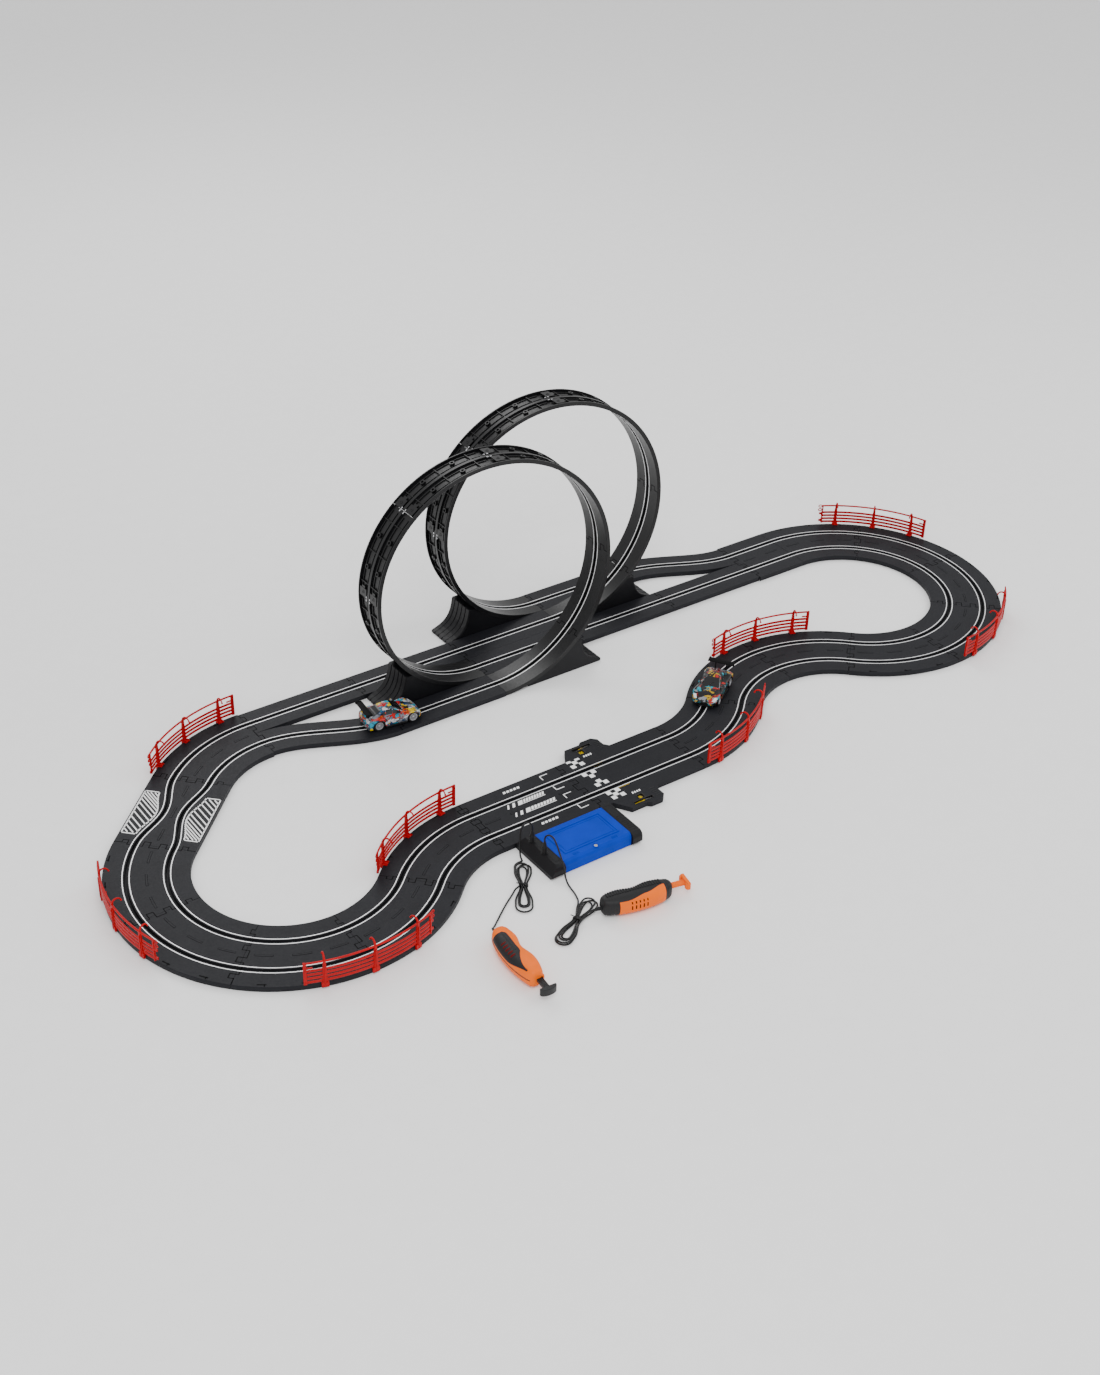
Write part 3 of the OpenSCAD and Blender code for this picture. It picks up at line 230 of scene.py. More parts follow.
CHARCOAL = (0.0095, 0.0098, 0.0125)
MATERIALS = {
    "track": plastic("track_plastic", CHARCOAL, 0.5, 2400, 0.3, 0.12, specular=0.16),
    "loop": plastic("loop_plastic", (0.0045, 0.0045, 0.0052), 0.34, 2400, 0.15, 0.15, specular=0.3),
    "support": plastic("support_plastic", (0.005, 0.005, 0.0062), 0.42, 2200, 0.2, 0.12, specular=0.2),
    # near-black, for the joints and printed digits, and for painted shade and shadow in the dash rims, clip
    # openings and vent slots
    "groove": plastic("black_for_joints_print_and_shade", (0.001, 0.001, 0.001), 0.8, 1500, 0.1, 0.1, specular=0.05),
    # near-black: painted shade for the strips beside the slots, and the plain dark plastic of the cars' rear
    # wings
    "slot_shade_and_wing": plastic("slot_shade_and_wing_black", (0.0015, 0.0015, 0.0018), 0.6, 1800, 0.1, 0.1, specular=0.1),
    "white": plastic("printed_white", (0.9, 0.9, 0.9), 0.45, 1800, 0.08, 0.04),
    "rail": plastic("rail_metal", (0.90, 0.90, 0.91), 0.38, 900, 0.1, 0.07, metallic=0.25),
    "red": plastic("fence_red", (0.40, 0.0006, 0.0035), 0.4, 1500, 0.06, 0.1, specular=0.15),
    "black": plastic("black_plastic", (0.006, 0.006, 0.007), 0.42, 2200, 0.15, 0.15, specular=0.35),
    "box": plastic("battery_box_black", (0.006, 0.0062, 0.0075), 0.48, 2400, 0.25, 0.12, specular=0.2),
    "blue": plastic("cover_blue", (0.0006, 0.030, 0.40), 0.46, 2000, 0.2, 0.08, specular=0.12),
    "orange": plastic("orange_plastic", (0.88, 0.14, 0.0004), 0.42, 1700, 0.12, 0.06, specular=0.15),
    "soft_black": plastic("soft_black", (0.007, 0.007, 0.008), 0.5, 2400, 0.3, 0.12, specular=0.3),
    "yellow": plastic("yellow_plastic", (0.90, 0.62, 0.002), 0.45, 1700, 0.1, 0.08, specular=0.15),
    "cord": plastic("cord_sheath", (0.004, 0.004, 0.0045), 0.4, 1500, 0.1, 0.15, specular=0.35),
    "steel": plastic("plated_steel", (0.62, 0.62, 0.64), 0.28, 1200, 0.05, 0.08, metallic=1.0),
    "cell": plastic("cell_sleeve", (0.02, 0.12, 0.06), 0.3, 900, 0.04, 0.1, coat=0.4),
    "nylon": plastic("gear_nylon", (0.76, 0.74, 0.66), 0.4, 1500, 0.06, 0.06),
    "tyre": plastic("tyre_rubber", (0.006, 0.006, 0.0065), 0.7, 1800, 0.4, 0.15, specular=0.25),
    "rim": plastic("rim_silver", (0.34, 0.34, 0.36), 0.35, 1500, 0.05, 0.06, metallic=0.4),
    "window": plastic("window_black", (0.003, 0.0035, 0.005), 0.16, 800, 0.02, 0.1, coat=0.15),
    "lamp": plastic("lamp_clear", (0.75, 0.78, 0.8), 0.15, 800, 0.03, 0.05, coat=0.7),
    # dark red: painted shade inside the vent slots of the first controller
    "vent": plastic("vent_dark_red", (0.11, 0.0015, 0.001), 0.5, 1500, 0.06, 0.1, specular=0.1),
    "tail": plastic("tail_lamp_red", (0.5, 0.01, 0.01), 0.2, 800, 0.03, 0.05, coat=0.7),
    "livery_1": livery("car_1_paint", [
        (0.006, 0.24, 0.36), (0.62, 0.42, 0.004), (0.05, 0.06, 0.075), (0.42, 0.004, 0.004),
        (0.006, 0.30, 0.42), (0.16, 0.17, 0.20), (0.50, 0.06, 0.002), (0.006, 0.04, 0.12),
        (0.50, 0.50, 0.52)], 100, (0.006, 0.006, 0.007)),
    "livery_2": livery("car_2_paint", [
        (0.006, 0.006, 0.007), (0.006, 0.006, 0.007), (0.004, 0.28, 0.36), (0.008, 0.008, 0.009),
        (0.24, 0.25, 0.27), (0.006, 0.006, 0.007), (0.40, 0.012, 0.008), (0.008, 0.008, 0.009),
        (0.45, 0.28, 0.01)], 105, (0.004, 0.004, 0.004)),
}


# ---- meshes --------------------------------------------------------------------
SHARP_ANGLE = 38
BEVEL_ANGLE = 40
WELD_GAP = 0.005


class Shape:
    """Collects faces in millimetres, then becomes one object."""

    def __init__(self):
        self.points = []
        self.faces = []
        self.slots = []

    def add(self, points, faces, slot=0):
        base = len(self.points)
        self.points += [Vector(p) for p in points]
        self.faces += [[base + i for i in face] for face in faces]
        self.slots += [slot] * len(faces)

    def sweep(self, rings, slot=0, caps=True, loop=False):
        """Joins rings of equally many points, each going round the same way."""
        m = len(rings[0])
        faces = []
        last = len(rings) if loop else len(rings) - 1
        for i in range(last):
            for j in range(m):
                a, b = i * m + j, i * m + (j + 1) % m
                k = (i + 1) % len(rings) * m
                faces.append((a, b, k + (j + 1) % m, k + j))
        if caps and not loop:
            faces.append(tuple(range(m - 1, -1, -1)))
            faces.append(tuple((len(rings) - 1) * m + j for j in range(m)))
        self.add([p for ring in rings for p in ring], faces, slot)

    def bar(self, place, s0, s1, a0, a1, b0, b1, steps=1, slot=0):
        """Rectangular bar along a piece of track, in its own coordinates."""
        rings = []
        for i in range(steps + 1):
            s = s0 + (s1 - s0) * i / steps
            rings.append([place(s, a0, b0), place(s, a0, b1), place(s, a1, b1), place(s, a1, b0)])
        self.sweep(rings, slot)

    def tube(self, points, radius, sides=10, slot=0, radii=None):
        """Round bar through the points."""
        points = [Vector(p) for p in points]
        rings = []
        side = None
        for i, point in enumerate(points):
            ahead = points[min(i + 1, len(points) - 1)] - points[max(i - 1, 0)]
            ahead.normalize()
            if side is None:
                side = ahead.cross(Vector((0, 0, 1)) if abs(ahead.z) < 0.9 else Vector((1, 0, 0)))
            side = (side - ahead * side.dot(ahead)).normalized()
            up = side.cross(ahead)
            r = radii[i] if radii else radius
            rings.append([
                point + (side * math.cos(t) + up * math.sin(t)) * r
                for t in (2 * math.pi * k / sides for k in range(sides))])
        self.sweep(rings, slot)

    def lathe(self, outline, matrix, sides=40, slot=0):
        """Turns an outline of (radius, height) about the z axis, closed on itself."""
        rings = []
        for k in range(sides):
            t = 2 * math.pi * k / sides
            rings.append([matrix @ Vector((r * math.cos(t), r * math.sin(t), z)) for r, z in outline])
        self.sweep(rings, slot, loop=True)

    def box(self, low, high, matrix=Matrix.Identity(4), slot=0):
        ring = [(low[0], low[1]), (high[0], low[1]), (high[0], high[1]), (low[0], high[1])]
        self.prism(ring, low[2], high[2], matrix, slot)

    def prism(self, outline, z0, z1, matrix=Matrix.Identity(4), slot=0):
        """Upright body with the same outline all the way up."""
        self.sweep([[matrix @ Vector((x, y, z)) for x, y in outline] for z in (z0, z1)], slot)

    def build(self, name, body, materials, smooth=False, bevel=0.0, replaces=(), slot=None):
        """Makes the object, dresses it and says which body it rides on."""
        mesh = bpy.data.meshes.new(name)
        mesh.from_pydata([p * MM for p in self.points], [], self.faces)
        for key in materials:
            mesh.materials.append(MATERIALS[key])
        for polygon, index in zip(mesh.polygons, self.slots):
            polygon.material_index = index
            polygon.use_smooth = smooth
        obj = bpy.data.objects.new(name, mesh)
        bpy.context.scene.collection.objects.link(obj)
        work = bmesh.new()
        work.from_mesh(mesh)
        bmesh.ops.recalc_face_normals(work, faces=work.faces)
        work.to_mesh(mesh)
        work.free()
        if bevel:
            add_bevel(obj, bevel)
        if smooth:
            mesh.set_sharp_from_angle(angle=math.radians(SHARP_ANGLE))
        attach(obj, body)
        if replaces:
            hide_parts(*replaces)
        return obj


def add_bevel(obj, width):
    bevel = obj.modifiers.new("edge", "BEVEL")
    bevel.width = width * MM
    bevel.segments = 2
    bevel.limit_method = "ANGLE"
    bevel.angle_limit = math.radians(BEVEL_ANGLE)
    bevel.harden_normals = False


def dress(node, key, bevel=0.0):
    """Gives a CAD node its material, and rounds its edges a little."""
    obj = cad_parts[node]
    obj.data.materials.clear()
    obj.data.materials.append(MATERIALS[key])
    if bevel:
        weld = obj.modifiers.new("weld", "WELD")
        weld.merge_threshold = WELD_GAP * MM
        add_bevel(obj, bevel)


def moved(x, y, z):
    return Matrix.Translation((x, y, z))


def turned(degrees, axis="Z"):
    return Matrix.Rotation(math.radians(degrees), 4, axis)


def placed(x, y, z=0.0, heading=0.0):
    return moved(x, y, z) @ turned(heading)


def smooth_line(points, steps=8):
    """Catmull-Rom curve through the points."""
    points = [Vector(p) for p in points]
    ends = [points[0] * 2 - points[1], *points, points[-1] * 2 - points[-2]]
    line = []
    for i in range(1, len(ends) - 2):
        p0, p1, p2, p3 = ends[i - 1:i + 3]
        for k in range(steps):
            t = k / steps
            line.append(0.5 * (
                2 * p1 + (p2 - p0) * t + (2 * p0 - 5 * p1 + 4 * p2 - p3) * t ** 2
                + (3 * p1 - p0 - 3 * p2 + p3) * t ** 3))
    return [*line, points[-1]]


def smooth_step(t):
    t = min(1.0, max(0.0, t))
    return t * t * (3 - 2 * t)


# ---- pieces of track -------------------------------------------------------------
# A place function takes the distance along a piece, the distance to its left and
# the height above the running surface.
def flat_place(x, y, heading=0.0, turn=0):
    """A straight, or with turn 1 or -1 a curve to the left or right."""
    c, n = math.cos(math.radians(heading)), math.sin(math.radians(heading))

    def place(s, a, b):
        along, side = s, a
        if turn:
            angle = s / CURVE_R
            r = CURVE_R - turn * a
            along = r * math.sin(angle)
            side = turn * (CURVE_R - r * math.cos(angle))
        return Vector((x + along * c - side * n, y + along * n + side * c, TOP + b))
    return place


def wave_place(x, y, length, shift, halves, heading=0.0):
    c, n = math.cos(math.radians(heading)), math.sin(math.radians(heading))

    def place(s, a, b):
        w = math.pi * halves * s / length
        slope = shift * halves * math.pi / 2 * math.sin(w) / length
        k = math.hypot(1, slope)
        along = s - a * slope / k
        side = shift * (1 - math.cos(w)) / 2 + a / k
        return Vector((x + along * c - side * n, y + along * n + side * c, TOP + b))
    return place


def loop_place(cx, y0):
    def place(s, a, b):
        t = s / LOOP_R
        shift = LANE_SHIFT * (t - math.sin(t)) / (2 * math.pi)
        return Vector((
            cx + (LOOP_R - b) * math.sin(t), y0 + shift + a, TOP + LOOP_R - (LOOP_R - b) * math.cos(t)))
    return place


def step(x, y, heading, turn):
    """Where the next piece starts, after a 45 degree curve."""
    h = math.radians(heading)
    along, side = CURVE_R * S45, turn * CURVE_R * (1 - S45)
    return (
        x + along * math.cos(h) - side * math.sin(h),
        y + along * math.sin(h) + side * math.cos(h),
        heading + 45 * turn)


def curve_chain(x, y, heading, turns):
    chain = []
    for turn in turns:
        chain.append((x, y, heading, turn))
        x, y, heading = step(x, y, heading, turn)
    return chain, (x, y, heading)


CURVE_L = CURVE_R * math.pi / 4
LOOP_L = LOOP_R * 2 * math.pi / LOOP_PIECES
LEFT_CHAIN, LEFT_END = curve_chain(-START_L, 0, 180, (1, -1, -1, -1, -1))
LAST_LEFT = (LEFT_END[0] + CHICANE_L * S45, LEFT_END[1] + CHICANE_L * S45, 45, -1)
RIGHT_CHAIN, _ = curve_chain(LAP_L, 0, 0, (1, -1, -1, 1, 1, 1, 1, 1))
CURVES = [*LEFT_CHAIN, LAST_LEFT, *RIGHT_CHAIN]


class Track:
    """One piece: how long it is, where its points are, its slots and its two edges."""

    def __init__(self, length, place, slots, low, high, steps=1):
        self.length = length
        self.place = place
        self.slots = slots
        self.low = low
        self.high = high
        self.steps = steps

    def sweep(self, shape, outline):
        """Runs an outline of (side, height) from one seam of the piece to the other."""
        rings = []
        for i in range(self.steps + 1):
            s = SEAM + (self.length - 2 * SEAM) * i / self.steps
            rings.append([self.place(s, a, b) for a, b in outline])
        shape.sweep(rings)


def double(length, place, steps=1):
    return Track(length, place, (-LANE_Y, LANE_Y), -TRACK_W / 2, TRACK_W / 2, steps)


def single(length, place, side, steps=1):
    return Track(
        length, place, (0,), -LANE_W / 2 - side * LANE_OFFSET, LANE_W / 2 - side * LANE_OFFSET, steps)


DOUBLES = [
    double(START_L, flat_place(-START_L, 0)),
    double(LAP_L, flat_place(0, 0)),
    double(HALF_L, flat_place(SPLIT_X, BACK_Y)),
    *[double(CURVE_L, flat_place(x, y, h, turn), 14) for x, y, h, turn in CURVES],
]
CHICANE = double(CHICANE_L, flat_place(*LEFT_END), 1)
CHICANE_LANES = []
for lane_side in (-1, 1):
    # a lane of the chicane starts to one side of the piece's centre line
    start = CHICANE.place(0, lane_side * LANE_Y, 0)
    CHICANE_LANES.append(Track(
        CHICANE_L, wave_place(start.x, start.y, CHICANE_L, -lane_side * SQUEEZE, 2, LEFT_END[2]),
        (0,), 0, 0, 36))
SINGLES = [
    single(STRAIGHT_L, flat_place(LEFT_X + STRAIGHT_L, LANE_A), 1),
    *[single(STRAIGHT_L, flat_place(NEAR_X + i * STRAIGHT_L, LANE_B), 1) for i in range(3)],
    *[single(STRAIGHT_L, flat_place(LEFT_X + i * STRAIGHT_L, LANE_C), -1) for i in range(3)],
    single(STRAIGHT_L, flat_place(FAR_X, LANE_D), -1),
]
WAVES = [
    single(STRAIGHT_L, wave_place(LEFT_X, LANE_B, STRAIGHT_L, -LANE_SHIFT, 1), 1, 30),
    single(STRAIGHT_L, wave_place(SPLIT_X - STRAIGHT_L, LANE_D, STRAIGHT_L, -LANE_SHIFT, 1), -1, 30),
]
NEAR_LOOP = (loop_place(NEAR_X, LANE_A), 1)
FAR_LOOP = (loop_place(FAR_X, LANE_C), -1)


def loop_piece(loop, i):
    place, side = loop
    piece = single(LOOP_L, lambda s, a, b: place(s + i * LOOP_L, a, b), side, 20)
    piece.low += SEAM
    piece.high -= SEAM
    return piece


LOOP_TRACKS = [[loop_piece(loop, i) for i in range(LOOP_PIECES)] for loop in (NEAR_LOOP, FAR_LOOP)]


# ---- rails, painted slot shade and seams --------------------------------------------
RAIL_GAP = 9.8
RAIL_W = 1.35
RAIL_H = 0.13
SLOT_W = 3.0
# height of the flat strips of painted shade and painted shadow; width of the painted shade strip beside each
# slot
PAINTED_SHADE_H = 0.05
SLOT_SHADE_W = 1.1
SEAM_H = 0.06
# the zigzag of a joint, from one edge of a piece to the other, as shares of its width
TEETH = (
    (0.0, 0), (0.1, 0), (0.1, 1), (0.17, 1), (0.17, -0.4), (0.36, -0.4), (0.36, 0.9), (0.44, 0.9),
    (0.44, -0.7), (0.56, -0.7), (0.56, 1), (0.64, 1), (0.64, -0.5), (0.83, -0.5), (0.83, 0.9),
    (0.9, 0.9), (0.9, 0), (1.0, 0))
SINGLE_TEETH = ((0.0, 0), (0.14, 0), (0.14, 1), (0.3, 1), (0.3, -0.6), (0.66, -0.6), (0.66, 0.8),
                (0.84, 0.8), (0.84, 0), (1.0, 0))
TOOTH = 7.0
SEAM_W = 1.1


def all_tracks():
    return [*DOUBLES, *CHICANE_LANES, *SINGLES, *WAVES, *LOOP_TRACKS[0], *LOOP_TRACKS[1]]


def add_rails():
    """A pair of steel strips with rounded tops beside every slot."""
    shape = Shape()
    for track in all_tracks():
        for slot in track.slots:
            for side in (-1, 1):
                c, w = slot + side * RAIL_GAP / 2, RAIL_W / 2
                track.sweep(shape, (
                    (c - w, 0), (c - w, RAIL_H * 0.6), (c - w * 0.6, RAIL_H), (c + w * 0.6, RAIL_H),
                    (c + w, RAIL_H * 0.6), (c + w, 0)))
    shape.build("rails", "circuit", ["rail"], smooth=True, replaces=["contact_rails"], slot="rail_steel")


def add_painted_slot_shade():
    """Painted shade: flat dark strips along the edges of every slot, between the rails, where the recess of
    the rails lies in shade.
    """
    shape = Shape()
    for track in all_tracks():
        for slot in track.slots:
            for side in (-1, 1):
                inner = slot + side * SLOT_W / 2
                outer = slot + side * (SLOT_W / 2 + SLOT_SHADE_W)
                shape.bar(track.place, SEAM, track.length - SEAM, min(inner, outer), max(inner, outer),
                          0, PAINTED_SHADE_H, track.steps)
    shape.build("painted_slot_shade", "circuit", ["slot_shade_and_wing"], slot="track_plastic")


def zigzag(track, s0, teeth, tooth):
    """Dark line of a joint: bars along and across the piece, which follow its teeth."""
    shape = Shape()
    width = track.high - track.low
    half = SEAM_W / 2
    for (f0, t0), (f1, t1) in zip(teeth, teeth[1:]):
        a0, a1 = track.low + f0 * width, track.low + f1 * width
        u0, u1 = s0 + t0 * tooth, s0 + t1 * tooth
        if any(abs((a0 + a1) / 2 - slot) < RAIL_GAP / 2 and abs(a1 - a0) < 2 for slot in track.slots):
            continue
        shape.bar(track.place, min(u0, u1) - half, max(u0, u1) + half, min(a0, a1) - half * (f0 == f1),
                  max(a0, a1) + half * (f0 == f1), 0.0, SEAM_H)
    return shape


def add_seams():
    shape = Shape()
    parts = [zigzag(track, 0, TEETH, TOOTH) for track in [*DOUBLES, CHICANE]]
    parts += [zigzag(track, 0, SINGLE_TEETH, TOOTH) for track in [*SINGLES, *WAVES]]
    parts += [zigzag(track, 0, SINGLE_TEETH, TOOTH) for loop in LOOP_TRACKS for track in loop[1:]]
    parts.append(zigzag(SINGLES[-1], STRAIGHT_L, SINGLE_TEETH, TOOTH))
    for part in parts:
        shape.add(part.points, part.faces)
    shape.build("piece_seams", "circuit", ["groove"], slot="track_plastic")


DASH_L = 25.0
DASH_W = 2.6
DASH_H = 0.22
DASH_GAP = 22.0
# width of the dark rim of painted shadow round each dash
DASH_SHADOW_RIM = 0.5
NOTCH_DEEP = 7.0


def add_dashes():
    """Raised dashes on the middle of the two-lane pieces, each with a dark rim of painted shadow round it.
    """
    shape = Shape()
    for track in [*DOUBLES[2:], CHICANE, DOUBLES[0]]:
        count = max(1, int((track.length - 24) // (DASH_L + DASH_GAP)) + 1)
        pitch = track.length / count
        for i in range(count):
            s = (i + 0.5) * pitch - DASH_L / 2
            steps = 4 if track.steps > 1 else 1
            # first a flat dark rim of painted shadow round the dash, then the dash itself
            for shadow_rim, high, slot in ((DASH_SHADOW_RIM, PAINTED_SHADE_H, 1), (0, DASH_H, 0)):
                half = DASH_W / 2 + shadow_rim
                shape.bar(track.place, s - shadow_rim, s + DASH_L + shadow_rim, -half, half, 0, high, steps, slot)
    shape.build("centre_dashes", "circuit", ["track", "groove"], bevel=0.05, slot="track_plastic")


def add_edge_notches():
    """Openings for fence clips along the outer edges of the curves and the front pieces, drawn as flat dark
    patches of painted shade.
    """
    shape = Shape()
    for track, (_, _, _, turn) in zip(DOUBLES[3:], CURVES):
        edge = -turn * TRACK_W / 2
        inner = edge + turn * NOTCH_DEEP
        low, high = min(edge, inner), max(edge, inner)
        for share in (0.2, 0.5, 0.8):
            s = track.length * share
            shape.bar(track.place, s - 5, s + 5, low + 1.5, high - 3.8, 0, SEAM_H, 2)
            shape.bar(track.place, s - 3.5, s - 2.5, low + 1, high - 1, 0, SEAM_H)
    shape.build("clip_notches", "circuit", ["groove"], slot="track_plastic")


# ---- loops --------------------------------------------------------------------------
PLATE_T = 2.4
SKIRT_T = 2.0
WEB_T = 1.2
LOOP_SLOT_D = 4.5
CLIP_W = 1.8


def loop_profile(track):
    lo, hi = track.low, track.high
    s, t = SLOT_W / 2, SLOT_W / 2 + WEB_T
    return (
        (lo, -LOOP_SKIRT), (lo, -0.5), (lo + 0.5, 0), (-s, 0), (-s, -LOOP_SLOT_D), (s, -LOOP_SLOT_D),
        (s, 0), (hi - 0.5, 0), (hi, -0.5), (hi, -LOOP_SKIRT), (hi - SKIRT_T, -LOOP_SKIRT),
        (hi - SKIRT_T, -PLATE_T), (t, -PLATE_T), (t, -LOOP_SLOT_D - WEB_T), (-t, -LOOP_SLOT_D - WEB_T),
        (-t, -PLATE_T), (lo + SKIRT_T, -PLATE_T), (lo + SKIRT_T, -LOOP_SKIRT))


def boss(shape, track, s, a, radius, low, high):
    """Round hollow boss that stands off the underside at a point of a loop piece."""
    centre = track.place(s, a, low)
    away = (track.place(s, a, high) - centre).normalized()
    matrix = Matrix.Translation(centre) @ away.to_track_quat("Z", "Y").to_matrix().to_4x4()
    height = abs(high - low)
    hole = radius * 0.55
    shape.lathe([(hole, 0.6), (hole, height), (radius, height), (radius, 0)], matrix, 20)


def loop_underside(shape, track, clip):
    """Ribs, bosses, joint plates and spring clips in the hollow of a loop piece."""
    place, length = track.place, track.length
    lo, hi = track.low + SKIRT_T, track.high - SKIRT_T
    web = SLOT_W / 2 + WEB_T
    deep = -LOOP_SKIRT + 0.4
    for low, high in ((lo, -web), (web, hi)):
        for share in (0.16, 0.5, 0.84):
            s = length * share
            shape.bar(place, s - 0.6, s + 0.6, low, high, deep + 1.6, -PLATE_T)
        middle = (low + high) / 2
        for share in (0.33, 0.67):
            boss(shape, track, length * share, middle, 4.2, -PLATE_T, deep)
        for offset in (-6.5, 6.5):
            shape.bar(place, length * 0.05, length * 0.95, middle + offset - 0.5, middle + offset + 0.5,
                      deep + 2.6, -PLATE_T, 12)
        # plate with a hook, which holds the next piece
        shape.bar(place, length - 15, length - 0.4, middle - 9, middle + 9, deep, deep + 1.6, 3)
        shape.bar(place, length - 19, length - 15, middle - 4, middle + 4, deep + 0.3, deep + 1.9, 1)
        boss(shape, track, length - 8, middle, 3.0, deep + 0.5, -LOOP_SKIRT)
    for a in (-RAIL_GAP / 2, RAIL_GAP / 2):
        for s0, s1, low, high, steps in (
                (length - 4, length - 1, 0, 0.5, 2), (1, 4, 0, 0.5, 2), (3.6, 4.3, -0.2, 2.4, 1)):
            clip.bar(place, s0, s1, a - CLIP_W / 2, a + CLIP_W / 2, deep + low, deep + high, steps)


def add_loops():
    for node, tracks in zip(("near_loop", "far_loop"), LOOP_TRACKS):
        shape, clips = Shape(), Shape()
        for track in tracks:
            track.sweep(shape, loop_profile(track))
            loop_underside(shape, track, clips)
        shape.build(f"{node}_pieces", "circuit", ["loop"], smooth=True, replaces=[node],
                    slot="track_plastic")
        clips.build(f"{node}_clips", "circuit", ["steel"], bevel=0.1, slot="rail_steel")


# ---- cords --------------------------------------------------------------------------
CORD_D = 2.6
CORD_R = CORD_D / 2
LAYER_2 = 3.95
TIE_LIFT = 0.6
# distance from the bundle's middle of its inner and outer turns (1, 2), at the tie, and at the
# ends in the lower and in the upper layer
TIE_Y = {1: 1.4, 2: 4.2}
END_Y = {(1, 1): 5.6, (2, 1): 11.7, (1, 2): 7.6, (2, 2): 10.4}
MINUS_END = {(1, 1): 36.0, (2, 1): 43.0, (1, 2): 40.0, (2, 2): 43.0}
PLUS_END = 38.0
CLIMB_END = 34.0
SPREAD = 32.0
TIE_HALF = 6.4
TIE_TOP = 6.9
PLUG_X = -143.0
PLUG_TOP = 41.0


def column(s, side, col, layer):
    end = END_Y[col, layer]
    return side * (TIE_Y[col] + (end - TIE_Y[col]) * smooth_step(abs(s) / SPREAD))


def layer_z(s, layer):
    """Height of a layer, which rises a little inside the tie."""
    return (CORD_R if layer == 1 else LAYER_2) + TIE_LIFT * math.exp(-(s / 5) ** 2)


def run(s0, s1, side, col, layer, count=16):
    """One pass along a bundle, between its two ends."""
    line = []
    for i in range(count + 1):
        s = s0 + (s1 - s0) * i / count
        line.append((s, column(s, side, col, layer), layer_z(s, layer)))
    return line


def lobe(centre_s, centre_y, radius, start, end, z0, z1, count=12):
    """Half turn at the end of a bundle, without its two end points."""
    line = []
    for i in range(1, count):
        t = math.radians(start + (end - start) * i / count)
        z = z0 + (z1 - z0) * smooth_step(2.0 * i / count)
        line.append((centre_s + radius * math.cos(t), centre_y + radius * math.sin(t), z))
    return line


def plus_lobe(s, from_y, to_y, z0, z1):
    return lobe(s, (from_y + to_y) / 2, (to_y - from_y) / 2, -90, 90, z0, z1)


def down_and_up(start, col, layer, end=PLUS_END):
    """A run to the far end of the bundle, round it, and back on the other side."""
    far = -MINUS_END[col, layer]
    z = layer_z(far, layer)
    return [*run(start, far, 1, col, layer), *lobe(far, 0, END_Y[col, layer], 90, 270, z, z),
            *run(far, end, -1, col, layer)]


def turns_from(start):
    """All turns but the last, from the given place on the first one."""
    z1, z2 = CORD_R, LAYER_2
    return [
        *down_and_up(start, 2, 1),
        *plus_lobe(PLUS_END + 1.5, -END_Y[2, 1], END_Y[1, 1], z1, z1),
        *down_and_up(PLUS_END, 1, 1, CLIMB_END),
        *plus_lobe(CLIMB_END, -END_Y[1, 1], END_Y[1, 2], z1, z2),
        *down_and_up(CLIMB_END, 1, 2),
        *plus_lobe(PLUS_END + 1.5, -END_Y[1, 2], END_Y[2, 2], z2, z2)]


def bundle_1():
    first = smooth_line([
        (53.5, 0.2, 3.9), (51.5, 6.5, 2.4), (46.5, 11, 1.5), (PLUS_END, END_Y[2, 1], CORD_R)], 5)[:-1]
    tail = smooth_line([(2, 4.3, 4.4), (-2, 5.6, 4.3), (-5, 8.2, 4.1), (-8, 11.03, 3.9)], 3)
    return [*first, *turns_from(PLUS_END), *run(PLUS_END, 5, 1, 2, 2, 10), *tail]


def bundle_2():
    first = smooth_line([(22.8, 11.03, 3.9), (14, 8, 2), (8, column(8, 1, 2, 1), CORD_R)], 5)[:-1]
    tail = smooth_line([
        (-36, -10.4, 3.95), (-28, -10.0, 4.0), (-21, -8.75, 4.1), (-14.05, -7.19, 4.2)], 5)
    far = -MINUS_END[2, 2]
    return [*first, *turns_from(8), *run(PLUS_END, far, 1, 2, 2),
            *lobe(far, 0, END_Y[2, 2], 90, 270, LAYER_2, LAYER_2), *tail]


def tie(name, matrix):
    """Wire tie round a bundle's middle, with two twisted ends on top."""
    shape = Shape()
    half, top = TIE_HALF, TIE_TOP
    rings = []
    for s in (-2.2, -1.6, 1.6, 2.2):
        grow = 0.0 if abs(s) > 2 else 0.35
        ring = []
        for k in range(28):
            t = 2 * math.pi * k / 28
            c, n = math.cos(t), math.sin(t)
            y = half * math.copysign(abs(c) ** 0.55, c)
            z = top / 2 * math.copysign(abs(n) ** 0.55, n)
            ring.append(matrix @ Vector((
                s, y * (1 + grow / half), max(0.05, top / 2 + z * (1 + grow / top)))))
        rings.append(ring)
    shape.sweep(rings, caps=False)
    inner = []
    for ring in (rings[-1], rings[0]):
        middle = sum(ring, Vector()) / len(ring)
        inner.append([p + (middle - p) * 0.07 for p in ring])
    shape.sweep([rings[-1], inner[0], inner[1], rings[0]], caps=False)
    for side in (-1, 1):
        twist = []
        for k in range(12):
            high = top + 0.35 + 0.05 * k + 0.4 * side * math.sin(k * 0.9)
            twist.append(matrix @ Vector((0.5 * side * math.cos(k * 0.9), 1.5 + k * 0.8, high)))
        shape.tube(twist, 0.45, 6)
    return shape.build(name, "circuit", ["soft_black"], smooth=True)


